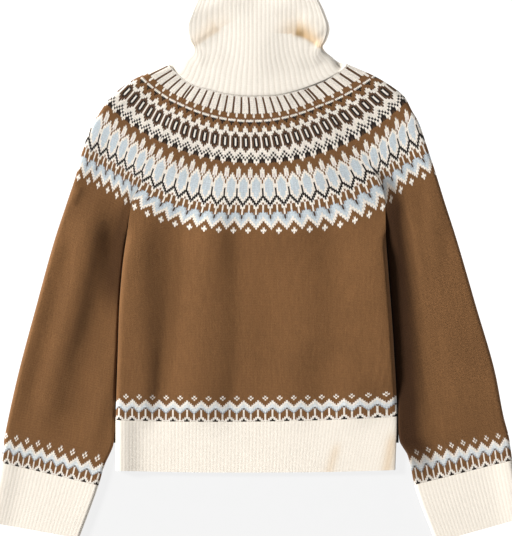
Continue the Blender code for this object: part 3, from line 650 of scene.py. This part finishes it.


# Warm shade painted where the hem's ribs lean together.
def painted_hem_shade(x, y):
    total = np.zeros(np.shape(x))
    for x0, y0, x1, y1, half, shade in HEM_PAINTED_SHADES:
        t = np.clip((y - y0) / (y1 - y0), 0, 1)
        total += shade * ease(t / 0.4) * np.exp(-(((x - x0 - (x1 - x0) * t) / half) ** 2))
    return total


def neck_sheet(shares, middle, behind, turns):
    """The roll neck as a ring, with ribs counted from the middle of the front."""
    ribs = table(NECK_RIB_COLUMNS, NECK_RIB_ROWS)
    outer, inner, count, row = [], [], [], []
    for share in shares:
        r = {k: float(NECK[k](share)) for k in NECK_COLUMNS}
        n = {k: float(ribs[k](share)) for k in NECK_RIB_COLUMNS}
        across = [-r["side_w"], -r["far_w"], -r["near_w"], 0.0, r["near_w"], r["far_w"], r["side_w"]]
        down = [r["side_y"], r["far_y"], r["near_y"], r["mid_y"], r["near_y"], r["far_y"], r["side_y"]]
        high = [r["far_z"], r["far_z"], r["near_z"], r["mid_z"], r["near_z"], r["far_z"], r["far_z"]]
        x_at = smooth_curve(NECK_STATIONS, across)
        y_at = smooth_curve(NECK_STATIONS, down)
        z_at = smooth_curve(NECK_STATIONS, high)
        n_at = smooth_curve(NECK_STATIONS, [-n["side"], -n["far"], -n["near"], 0.0,
                                            n["near"], n["far"], n["side"]])
        linked = float(1 - ease(share / 0.18))
        width = 2 * r["side_w"]
        fold_out, fold_in, fold_up = side_fold(turns, 1.0, NECK_ROUND, 0.0)
        for_faces = []
        for fold in (fold_out, fold_in):
            flat = fold_out[-1] + (width - 2 * fold_out[-1]) * np.arange(1, middle) / middle
            front = np.concatenate([fold, flat, (width - fold)[::-1]]) / width
            flat = fold_out[-1] + (width - 2 * fold_out[-1]) * np.arange(1, behind) / behind
            rear = np.concatenate([fold, flat, (width - fold)[::-1]]) / width
            for_faces.append((front, rear[::-1][1:-1]))
        rise = np.concatenate([fold_up, np.ones(middle - 1), fold_up[::-1]])
        rise_back = np.concatenate([fold_up, np.ones(behind - 1), fold_up[::-1]])[1:-1]
        rows = []
        for (front, rear), thick in zip(for_faces, (0.0, WALL)):
            x = r["mid_x"] + x_at(front) * (1 - 0.004 * linked)
            y = y_at(front)
            y = y + linked * (NECKLINE(r["mid_x"] + x_at(front)) + 0.05 - y)
            z = r["side_z"] + (z_at(front) - thick - r["side_z"]) * rise
            z = z + neck_folds(x, y) * rise
            xb = r["mid_x"] + r["side_w"] * (2 * rear - 1) * (1 - 0.03 * linked)
            yb = r["side_y"] + (r["back_y"] - r["side_y"]) * (1 - (2 * rear - 1) ** 4)
            yb = yb + linked * (BACK_NECKLINE(xb) + 0.8 - yb)
            zb = r["side_z"] - (r["side_z"] - thick) * rise_back
            rows.append(np.concatenate([np.stack([x, y, z], 1), np.stack([xb, yb, zb], 1)]))
        outer.append(rows[0])
        inner.append(rows[1])
        front, rear = for_faces[0]
        count.append(np.concatenate([n_at(front), n["side"] * (2 - (2 * rear - 1))]))
        row.append(np.full(len(rows[0]), share * 75.0))
    return np.array(outer), np.array(inner), np.array(count), np.array(row)


def step_apart(faces, first=0.0, last=0.0):
    """Takes the first and last course of a piece back from its seams, along the wales."""
    for face in faces[:2]:
        for row, beside, amount in ((0, 1, first), (-1, -2, last)):
            if amount:
                run = face[beside] - face[row]
                run = run / np.linalg.norm(run, axis=1)[:, None]
                face[row] += run * amount
    return faces


def outward(outer, inner, ring=False):
    """Unit normals of the outer face, pointing away from the inner one."""
    down = np.gradient(outer, axis=0)
    if ring:
        across = (np.roll(outer, -1, 1) - np.roll(outer, 1, 1)) / 2
    else:
        across = np.gradient(outer, axis=1)
    n = np.cross(down, across)
    n /= np.maximum(np.linalg.norm(n, axis=2), 1e-9)[..., None]
    away = outer - inner
    return n * np.sign((n * away).sum(2).mean())


def ribbed(faces, phase, depth, ring=False):
    """Sinks the valleys between ribs softly into the outer face. phase counts ribs."""
    outer, inner = faces[:2]
    n = outward(outer, inner, ring)
    outer -= n * (depth * np.sin(math.pi * phase) ** 2)[..., None]


# ---------------------------------------------------------------- meshes
def quads(rows, columns, ring, flip):
    r = np.arange(rows - 1)[:, None]
    c = np.arange(columns if ring else columns - 1)[None, :]
    d = (c + 1) % columns
    a, b = r * columns + c, (r + 1) * columns + c
    e, f = (r + 1) * columns + d, r * columns + d
    out = np.stack(np.broadcast_arrays(a, b, e, f), -1).reshape(-1, 4)
    return out[:, ::-1] if flip else out


def sheet_piece(name, faces, material, node, ring=False, shade=None):
    """A closed thin wall of cloth from its two faces, with its stitch and bake maps."""
    outer, inner, count, row = faces
    rows, columns = outer.shape[:2]
    size = rows * columns
    points = np.concatenate([outer.reshape(-1, 3), inner.reshape(-1, 3)]) / 1000.0
    parts = [quads(rows, columns, ring, False), quads(rows, columns, ring, True) + size]
    c = np.arange(columns if ring else columns - 1)
    d = (c + 1) % columns
    first = np.stack([c, d, d + size, c + size], 1)
    low = (rows - 1) * columns
    last = np.stack([c + low, c + low + size, d + low + size, d + low], 1)
    parts += [first, last]
    if not ring:
        r = np.arange(rows - 1)
        a, b = r * columns, (r + 1) * columns
        parts.append(np.stack([a, a + size, b + size, b], 1))
        a, b = a + columns - 1, b + columns - 1
        parts.append(np.stack([a, b, b + size, a + size], 1))
    corners = np.concatenate(parts)
    counts = [len(p) for p in parts]
    # Face the walls outward, whichever way the grid runs.
    p = points[corners]
    volume = np.einsum("ij,ij->i", p[:, 0], np.cross(p[:, 1], p[:, 2])).sum()
    volume += np.einsum("ij,ij->i", p[:, 0], np.cross(p[:, 2], p[:, 3])).sum()
    if volume < 0:
        corners = corners[:, ::-1]
    mesh = bpy.data.meshes.new(name)
    mesh.vertices.add(len(points))
    mesh.vertices.foreach_set("co", points.astype(np.float32).ravel())
    mesh.loops.add(corners.size)
    mesh.loops.foreach_set("vertex_index", corners.astype(np.int32).ravel())
    mesh.polygons.add(len(corners))
    mesh.polygons.foreach_set("loop_start", np.arange(0, corners.size, 4, dtype=np.int32))
    mesh.update(calc_edges=True)
    mesh.validate()
    mesh.polygons.foreach_set("use_smooth", np.ones(len(corners), bool))
    mesh.set_sharp_from_angle(angle=math.radians(60))

    stitch = np.stack([np.concatenate([count.ravel()] * 2), np.concatenate([row.ravel()] * 2)], 1)
    loops = corners.ravel()
    layer = mesh.uv_layers.new(name="Stitch")
    place = stitch[loops].reshape(-1, 4, 2)
    if ring:
        # The last column joins the first: keep its repeats running on.
        span = place[..., 0].max(1) - place[..., 0].min(1)
        jump = span > (count.max() - count.min()) / 2
        whole = round(count[0, -1] + (count[0, -1] - count[0, -2]) - count[0, 0])
        wrapped = place[jump]
        wrapped[..., 0] = np.where(wrapped[..., 0] < count.mean(), wrapped[..., 0] + whole, wrapped[..., 0])
        place[jump] = wrapped
    layer.data.foreach_set("uv", place.astype(np.float32).ravel())

    # The bake map: the outer face above, the inner face and the rims in strips below.
    kind = np.repeat(np.arange(len(parts)), counts)
    run = np.concatenate([[0], np.cumsum(np.linalg.norm(np.diff(outer[rows // 2], axis=0), axis=1))])
    run = run / run[-1]
    step = np.concatenate([[0], np.cumsum(np.linalg.norm(np.diff(outer[:, columns // 2], axis=0), axis=1))])
    step = step / step[-1]
    vertex = corners % size
    col, line = vertex % columns, vertex // columns
    x, y = run[col], step[line]
    if ring:
        edge = (np.abs(col - np.roll(col, 1, 1)).max(1) > 1)[:, None] & (col == 0)
        x = x * (columns - 1) / columns
        x = np.where(edge, 1.0, x)
    behind = corners >= size
    u, v = x * 0.98 + 0.01, np.zeros_like(x)
    k = kind[:, None]
    v = np.where(k == 0, 0.30 + 0.69 * (1 - y), v)
    v = np.where(k == 1, 0.08 + 0.20 * (1 - y), v)
    v = np.where(k == 2, 0.052 + 0.018 * behind, v)
    v = np.where(k == 3, 0.028 + 0.018 * behind, v)
    u = np.where(k >= 4, 0.01 + 0.98 * y, u)
    v = np.where(k == 4, 0.016 + 0.008 * behind, v)
    v = np.where(k == 5, 0.003 + 0.008 * behind, v)
    bake_map = mesh.uv_layers.new(name="OFBake")
    bake_map.data.foreach_set("uv", np.stack([u, v], -1).astype(np.float32).ravel())
    mesh.uv_layers.active = mesh.uv_layers["Stitch"]

    value = np.zeros(size * 2, np.float32)
    if shade is not None:
        value[:size] = shade.ravel()
    mesh.attributes.new("shade", "FLOAT", "POINT").data.foreach_set("value", value)

    piece = bpy.data.objects.new(name, mesh)
    bpy.context.scene.collection.objects.link(piece)
    mesh.materials.append(material)
    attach(piece, "root")
    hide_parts(node)
    return piece


# ---------------------------------------------------------------- materials
class Nodes:
    """Short forms for making shader nodes."""

    def __init__(self, name):
        self.material = bpy.data.materials.new(name)
        self.material.use_nodes = True
        self.tree = self.material.node_tree
        self.shader = self.tree.nodes["Principled BSDF"]

    def put(self, socket, value):
        if isinstance(value, bpy.types.NodeSocket):
            self.tree.links.new(value, socket)
        elif value is not None:
            socket.default_value = value

    def math(self, operation, a, b=None, c=None):
        node = self.tree.nodes.new("ShaderNodeMath")
        node.operation = operation
        for socket, value in zip(node.inputs, (a, b, c)):
            self.put(socket, value)
        return node.outputs[0]

    def mix(self, share, a, b, blend="MIX"):
        node = self.tree.nodes.new("ShaderNodeMix")
        node.data_type = "RGBA"
        node.blend_type = blend
        self.put(node.inputs[0], share)
        self.put(node.inputs[6], a if isinstance(a, bpy.types.NodeSocket) else (*a, 1.0))
        self.put(node.inputs[7], b if isinstance(b, bpy.types.NodeSocket) else (*b, 1.0))
        return node.outputs[2]

    def noise(self, where, scale, detail=2.0, rough=0.5):
        node = self.tree.nodes.new("ShaderNodeTexNoise")
        self.put(node.inputs["Vector"], where)
        node.inputs["Scale"].default_value = scale
        node.inputs["Detail"].default_value = detail
        node.inputs["Roughness"].default_value = rough
        return node.outputs["Fac"]

    def spread(self, value, low, high):
        """A 0 to 1 value laid between low and high."""
        return self.math("MULTIPLY_ADD", value, high - low, low)

    def position(self):
        return self.tree.nodes.new("ShaderNodeTexCoord").outputs["Object"]

    def stitch_map(self):
        node = self.tree.nodes.new("ShaderNodeUVMap")
        node.uv_map = "Stitch"
        split = self.tree.nodes.new("ShaderNodeSeparateXYZ")
        self.tree.links.new(node.outputs[0], split.inputs[0])
        return split.outputs[0], split.outputs[1]

    def attribute(self, name):
        node = self.tree.nodes.new("ShaderNodeAttribute")
        node.attribute_name = name
        return node.outputs["Fac"]

    def bump(self, height, strength, distance, under=None):
        node = self.tree.nodes.new("ShaderNodeBump")
        node.inputs["Strength"].default_value = strength
        node.inputs["Distance"].default_value = distance
        self.put(node.inputs["Height"], height)
        if under is not None:
            self.put(node.inputs["Normal"], under)
        return node.outputs[0]


def chart_groups():
    """Six rows of a chart to a group, five stitches to a row."""
    groups = {}
    for start, chart in ((0, YOKE_CHART), (HEM_START, HEM_CHART)):
        for i, line in enumerate(chart):
            row = start + i
            cells = groups.setdefault(row // 6, ["b"] * 30)
            for d, letter in enumerate(line):
                cells[row % 6 * 5 + d] = letter
    return groups


def loops_relief(n, f, fr):
    """Height of a V of yarn over one stitch, 0 to 1; f across it, fr down it."""
    leg = n.math("FRACT", n.math("MULTIPLY", f, 2.0))
    leg = n.math("SUBTRACT", 1.0, n.math("POWER", n.math("ABSOLUTE", n.math("MULTIPLY_ADD", leg, 2.0, -1.0)), 2.0))
    turn = n.math("SUBTRACT", 1.0, n.math("POWER", n.math("ABSOLUTE", n.math("MULTIPLY_ADD", fr, 2.0, -1.0)), 3.0))
    return n.math("MULTIPLY", leg, n.math("MULTIPLY_ADD", turn, 0.55, 0.45))


def knit_material():
    n = Nodes("brown_knit")
    s, v = n.stitch_map()
    where = n.position()
    # Yarn is laid a little unevenly from stitch to stitch.
    s = n.math("ADD", s, n.spread(n.noise(where, 60.0, 2.0), -0.02, 0.02))
    v = n.math("ADD", v, n.spread(n.noise(where, 45.0, 2.0), -0.16, 0.16))
    # Four stitches to the repeat, then six, then eight; each change lies in a plain row.
    wide = n.math("ADD", n.math("MULTIPLY", n.math("GREATER_THAN", v, 11.5), 2.0),
                  n.math("MULTIPLY_ADD", n.math("GREATER_THAN", v, 34.5), 2.0, 4.0))
    across = n.math("MULTIPLY", s, wide)
    wale = n.math("ROUND", across)
    f = n.math("FRACT", n.math("ADD", across, 0.5))
    lean = n.math("ABSOLUTE", n.math("MULTIPLY_ADD", f, 2.0, -1.0))
    v = n.math("MULTIPLY_ADD", n.math("SUBTRACT", lean, 0.5), 0.62, v)
    row = n.math("FLOOR", v)
    fr = n.math("FRACT", v)
    half = n.math("ABSOLUTE", n.math("SUBTRACT", n.math("FRACT", n.math("ADD", n.math("DIVIDE", wale, wide), 0.5)), 0.5))
    d = n.math("ROUND", n.math("MULTIPLY", half, wide))
    group = n.math("FLOOR", n.math("DIVIDE", row, 6.0))
    cell = n.math("MULTIPLY_ADD", n.math("SUBTRACT", row, n.math("MULTIPLY", group, 6.0)), 5.0, d)
    at = n.math("DIVIDE", n.math("ADD", cell, 0.5), 30.0)
    colour = None
    for index, cells in sorted(chart_groups().items()):
        ramp = n.tree.nodes.new("ShaderNodeValToRGB")
        ramp.color_ramp.interpolation = "CONSTANT"
        n.put(ramp.inputs[0], at)
        stops = [(i, a) for i, a in enumerate(cells) if i == 0 or cells[i - 1] != a]
        elements = ramp.color_ramp.elements
        elements[0].position, elements[0].color = 0.0, (*YARNS[stops[0][1]], 1.0)
        elements[1].position, elements[1].color = 1.0, (*YARNS[cells[-1]], 1.0)
        for i, letter in stops[1:]:
            e = elements.new(i / 30.0)
            e.color = (*YARNS[letter], 1.0)
        here = n.math("COMPARE", group, float(index), 0.5)
        colour = n.mix(here, YARNS["b"] if colour is None else colour, ramp.outputs[0])
    # Painted shadow: the shade attribute darkens the sleeves beside the body towards this dark brown.
    colour = n.mix(n.attribute("shade"), colour, (0.17, 0.13, 0.10), "MULTIPLY")
    relief = loops_relief(n, f, fr)
    # Yarn shades: patches of the dye and single stitches; painted shade in the gaps between loops.
    patch = n.spread(n.noise(where, 9.0, 3.0), 0.86, 1.14)
    tone = n.spread(n.noise(where, 420.0, 1.0), 0.76, 1.24)
    # Heather: the tone changes from wale to wale, and slowly down each one.
    strand = n.tree.nodes.new("ShaderNodeCombineXYZ")
    n.put(strand.inputs[0], n.math("MULTIPLY", across, 0.9))
    n.put(strand.inputs[1], n.math("MULTIPLY", v, 0.09))
    streak = n.spread(n.noise(strand.outputs[0], 1.0, 2.0), 0.80, 1.20)
    painted_loop_shade = n.math("MULTIPLY_ADD", relief, 0.38, 0.72)
    shade = n.math("MULTIPLY", n.math("MULTIPLY", n.math("MULTIPLY", patch, tone), streak), painted_loop_shade)
    node = n.tree.nodes.new("ShaderNodeVectorMath")
    node.operation = "SCALE"
    n.put(node.inputs[0], colour)
    n.put(node.inputs["Scale"], shade)
    n.put(n.shader.inputs["Base Color"], node.outputs[0])
    fuzz = n.bump(n.noise(where, 1500.0, 3.0, 0.6), 0.35, 0.0004)
    n.put(n.shader.inputs["Normal"], n.bump(relief, 0.75, 0.0008, fuzz))
    n.put(n.shader.inputs["Roughness"], n.spread(n.noise(where, 700.0, 2.0), 0.82, 0.98))
    finish_wool(n)
    return n.material


def finish_wool(n):
    n.shader.inputs["Specular IOR Level"].default_value = 0.15
    n.shader.inputs["Sheen Weight"].default_value = 0.12
    n.shader.inputs["Sheen Roughness"].default_value = 0.45
    n.shader.inputs["Sheen Tint"].default_value = (1.0, 0.95, 0.88, 1.0)


def rib_material(name, wales, begin, ridge_colour, painted_valley_shade_colour):
    """Cream ribbing. wales is how many stitches lie on a rib, begin where ribs start."""
    n = Nodes(name)
    s, v = n.stitch_map()
    where = n.position()
    across = n.math("MULTIPLY", s, float(wales))
    f = n.math("FRACT", n.math("ADD", across, 0.5))
    lean = n.math("ABSOLUTE", n.math("MULTIPLY_ADD", f, 2.0, -1.0))
    v = n.math("MULTIPLY_ADD", n.math("SUBTRACT", lean, 0.5), 0.62, v)
    v = n.math("ADD", v, n.spread(n.noise(where, 45.0, 2.0), -0.2, 0.2))
    relief = loops_relief(n, f, n.math("FRACT", v))
    ridge = n.math("ABSOLUTE", n.math("COSINE", n.math("MULTIPLY", n.math("ADD", s, begin), math.pi)))
    valley = n.math("POWER", n.math("SUBTRACT", 1.0, ridge), 2.0)
    # The valleys between ribs take a darker colour: painted shade.
    colour = n.mix(valley, ridge_colour, painted_valley_shade_colour)
    # Painted warm shade in the neck's creases and along the hem's leaning ribs, from the shade attribute.
    colour = n.mix(n.attribute("shade"), colour, (0.74, 0.51, 0.25), "MULTIPLY")
    patch = n.spread(n.noise(where, 10.0, 3.0), 0.95, 1.05)
    tone = n.spread(n.noise(where, 420.0, 1.0), 0.94, 1.06)
    # Painted shade in the gaps between loops.
    painted_loop_shade = n.math("MULTIPLY_ADD", relief, 0.14, 0.89)
    node = n.tree.nodes.new("ShaderNodeVectorMath")
    node.operation = "SCALE"
    n.put(node.inputs[0], colour)
    n.put(node.inputs["Scale"], n.math("MULTIPLY", n.math("MULTIPLY", patch, tone), painted_loop_shade))
    n.put(n.shader.inputs["Base Color"], node.outputs[0])
    fuzz = n.bump(n.noise(where, 1500.0, 3.0, 0.6), 0.3, 0.0004)
    loops = n.bump(relief, 0.3, 0.0006, fuzz)
    n.put(n.shader.inputs["Normal"], n.bump(valley, 0.06, -0.0003, loops))
    n.put(n.shader.inputs["Roughness"], n.spread(n.noise(where, 700.0, 2.0), 0.82, 0.98))
    finish_wool(n)
    return n.material


# ---------------------------------------------------------------- the garment
def courses(first, last, step):
    return np.linspace(first, last, max(2, int(round((last - first) / step)) + 1))


KNIT = knit_material()
# The second colour of each is the painted shade in the valleys between ribs.
RIB = rib_material("cream_rib", 2, 0.0, (0.92, 0.85, 0.75), (0.85, 0.765, 0.655))
NECK_RIB = rib_material("cream_neck_rib", 3, 0.5, (0.935, 0.87, 0.775), (0.81, 0.735, 0.635))


def body_piece(name, first, last, back, ribs):
    fine = 4.6 if not back else 7.0
    if ribs:
        width = 447.0
        middle = int(width / RIB_PITCH * (6 if not back else 4))
        faces = body_sheet(courses(first, last, 6.0), middle, 6, back)
        count = along_mm(faces[0])
        shade = None
        if not back:
            x, y = faces[0][..., 0], faces[0][..., 1]
            # Painted warm shade where the hem's ribs lean together.
            shade = painted_hem_shade(x, y)
            count = count + HEM_LEAN * ease(x / 220.0) * np.maximum(y.max() - y, 0)
        ribbed(faces, count / RIB_PITCH, RIB_DEPTH)
        faces = (faces[0], faces[1], count / RIB_PITCH, faces[3])
        step_apart(faces, SEAM / 2, 0.0)
        piece = sheet_piece("knit_" + name, faces, RIB, name, shade=shade)
    else:
        faces = body_sheet(courses(first, last, fine * 0.8), int(450 / fine), 6, back)
        step_apart(faces, 0.0, SEAM / 2)
        piece = sheet_piece("knit_" + name, faces, KNIT, name)
    return piece


def along_mm(outer):
    """Distance along each course from its middle, stretched so that ribs run straight."""
    step = np.linalg.norm(np.diff(outer, axis=1), axis=2)
    run = np.concatenate([np.zeros((len(outer), 1)), np.cumsum(step, axis=1)], axis=1)
    total = run[:, -1:]
    return (run / total - 0.5) * total.mean()


body_piece("front_panel", 0.0, RIB_TOP, False, False)
body_piece("back_panel", 0.0, RIB_TOP, True, False)
body_piece("front_hem_rib", RIB_TOP, 600.8, False, True)
body_piece("back_hem_rib", RIB_TOP, 600.8, True, True)
for side in ("left", "right"):
    sleeve = side + "_sleeve"
    faces = sleeve_sheet(sleeve, courses(0.0, SLEEVE_RIB, 4.0), 34, 22, 5, 6)
    step_apart(faces, 0.0, SEAM / 2)
    # Painted shadow on the sleeve where it lies beside the body.
    shade = painted_sleeve_shadow(sleeve, faces[0], courses(0.0, SLEEVE_RIB, 4.0))
    sheet_piece("knit_" + sleeve, faces, KNIT, sleeve, shade=shade)
    faces = sleeve_sheet(sleeve, courses(SLEEVE_RIB, CUFF_END, 6.0), 200, 120, 6, 8)
    count = along_mm(faces[0]) / RIB_PITCH
    ribbed(faces, count, RIB_DEPTH)
    faces = (faces[0], faces[1], count, faces[3])
    step_apart(faces, SEAM / 2, 0.0)
    cuff = side + "_cuff"
    sheet_piece("knit_" + cuff, faces, RIB, cuff)

faces = neck_sheet(np.concatenate([np.linspace(0, 0.18, 12), np.linspace(0.18, 0.8, 58)[1:],
                                   np.linspace(0.8, 1.0, 10)[1:]]), 340, 130, 8)
front = np.arange(faces[0].shape[1]) < 340 + 16
# Painted warm shade in the neck's creases, on the front only.
shade = painted_neck_crease_shade(faces[0][..., 0], faces[0][..., 1]) * front
ribbed(faces, faces[2] + 0.5, 0.12, ring=True)
sheet_piece("knit_roll_neck", faces, NECK_RIB, "roll_neck", True, shade)


def chain(name, points, size, material):
    """A row of small linking stitches along a line of points, mm."""
    verts, polys = [], []
    ring = [(math.cos(a), math.sin(a)) for a in np.linspace(0, 2 * math.pi, 7)[:-1]]
    for i, p in enumerate(points):
        p = np.array(p)
        q = np.array(points[min(i + 1, len(points) - 1)]) - np.array(points[max(i - 1, 0)])
        t = q / np.linalg.norm(q)
        side = np.cross(t, (0, 0, 1.0))
        side /= np.linalg.norm(side)
        up = np.cross(side, t)
        start = len(verts)
        for k, (share, fat) in enumerate(((-0.5, 0.35), (-0.2, 1.0), (0.2, 1.0), (0.5, 0.35))):
            for a, b in ring:
                verts.append(tuple((p + t * size[0] * share + side * a * size[1] / 2 * fat + up * b * size[2] / 2 * fat) / 1000))
        for k in range(3):
            for j in range(6):
                a, b = start + k * 6 + j, start + k * 6 + (j + 1) % 6
                polys.append((a, b, b + 6, a + 6))
        polys.append(tuple(start + j for j in range(5, -1, -1)))
        polys.append(tuple(start + 18 + j for j in range(6)))
    mesh = bpy.data.meshes.new(name)
    mesh.from_pydata(verts, [], polys)
    mesh.shade_smooth()
    mesh.materials.append(material)
    piece = bpy.data.objects.new(name, mesh)
    bpy.context.scene.collection.objects.link(piece)
    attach(piece, "root")
    return piece


def thread_material():
    n = Nodes("linking_thread")
    where = n.position()
    n.put(n.shader.inputs["Base Color"], n.mix(n.noise(where, 900.0, 2.0), (0.62, 0.56, 0.50), (0.38, 0.33, 0.28)))
    n.put(n.shader.inputs["Normal"], n.bump(n.noise(where, 2400.0, 2.0), 0.5, 0.0003))
    n.shader.inputs["Roughness"].default_value = 0.9
    return n.material


line_x = np.linspace(-136.0, 142.0, 600)
line_y = NECKLINE(line_x)
run = np.concatenate([[0], np.cumsum(np.hypot(np.diff(line_x), np.diff(line_y)))])
stops = np.arange(1.0, run[-1], 2.7)
seam_x, seam_y = np.interp(stops, run, line_x), np.interp(stops, run, line_y)
chain("neck_linking", [(x, y - 0.1, 9.3) for x, y in zip(seam_x, seam_y)],
                               (1.3, 0.55, 0.6), thread_material())

# ---------------------------------------------------------------- columns for the cloth sheets
# Columns for each sheet as it is cut, with no sheets listed: the width and length it is cut
# within, in metres, and the area of the cut, from its width at each course by the length of its courses.
SHEET_COLUMNS = ("node", "width", "length", "area", "held", "rests_on")


# ---------------------------------------------------------------- floor, light, camera
floor_mesh = bpy.data.meshes.new("floor")
floor_mesh.from_pydata([(-6, -6, 0), (6, -6, 0), (6, 6, 0), (-6, 6, 0)], [], [(0, 1, 2, 3)])
floor = bpy.data.objects.new("floor", floor_mesh)
bpy.context.scene.collection.objects.link(floor)
ground = Nodes("floor")
ground.put(ground.shader.inputs["Base Color"], ground.mix(ground.noise(ground.position(), 40.0, 3.0), (0.05, 0.05, 0.05), (0.06, 0.06, 0.06)))
ground.shader.inputs["Emission Color"].default_value = (1.0, 1.0, 1.0, 1.0)
# A lit table: it is dark only under the body, where cloth covers it.
split = ground.tree.nodes.new("ShaderNodeSeparateXYZ")
ground.put(split.inputs[0], ground.position())
inside_x = ground.math("LESS_THAN", ground.math("ABSOLUTE", split.outputs[0]), 0.2285)
inside_y = ground.math("LESS_THAN", ground.math("ABSOLUTE", ground.math("ADD", split.outputs[1], 0.10)), 0.20)
lit = ground.math("MULTIPLY", ground.math("SUBTRACT", 1.0, ground.math("MULTIPLY", inside_x, inside_y)), 1.15)
# The table is a shade greyer below the hem, between the sleeves.
between = ground.math("MULTIPLY", ground.math("LESS_THAN", ground.math("ABSOLUTE", split.outputs[0]), 0.285),
                      ground.math("LESS_THAN", ground.math("ABSOLUTE", ground.math("ADD", split.outputs[1], 0.44)), 0.15))
ground.put(ground.shader.inputs["Emission Strength"],
           ground.math("MULTIPLY", lit, ground.math("SUBTRACT", 1.0, ground.math("MULTIPLY", between, 0.265))))
ground.shader.inputs["Roughness"].default_value = 0.9
ground.shader.inputs["Specular IOR Level"].default_value = 0.1
floor_mesh.materials.append(ground.material)
floor.location.z = -0.0005


def area_light(name, place, aim, size, power, colour=(1, 1, 1)):
    light = bpy.data.lights.new(name, "AREA")
    light.shape = "DISK"
    light.size = size
    light.energy = power
    light.color = colour
    lamp = bpy.data.objects.new(name, light)
    bpy.context.scene.collection.objects.link(lamp)
    lamp.location = place
    lamp.rotation_mode = "QUATERNION"
    lamp.rotation_quaternion = (Vector(place) - Vector(aim)).to_track_quat("Z", "Y")
    return lamp


area_light("key", (-12.57, 4.56, 6.81), (0, 0, 0), 3.3, 4780.0, (1.0, 0.995, 0.985))
area_light("fill", (1.5, -1.0, 4.2), (0, 0, 0), 3.0, 14.0)
area_light("rim", (12.4, -2.2, 0.95), (0, 0, 0), 3.0, 400.0)
world = bpy.data.worlds.new("studio")
bpy.context.scene.world = world
world.use_nodes = True
world.node_tree.nodes["Background"].inputs[0].default_value = (1.0, 1.0, 1.0, 1.0)
world.node_tree.nodes["Background"].inputs[1].default_value = 0.10

lens = bpy.data.cameras.new("camera")
lens.lens = 300.0
lens.sensor_width = 36.0
lens.clip_end = 60.0
camera = bpy.data.objects.new("camera", lens)
bpy.context.scene.collection.objects.link(camera)
camera.location = (0.0, -0.0200, 0.010 + 0.8576 / 2 / (18.0 / 300.0))
bpy.context.scene.camera = camera
bpy.context.scene.view_settings.view_transform = "Standard"
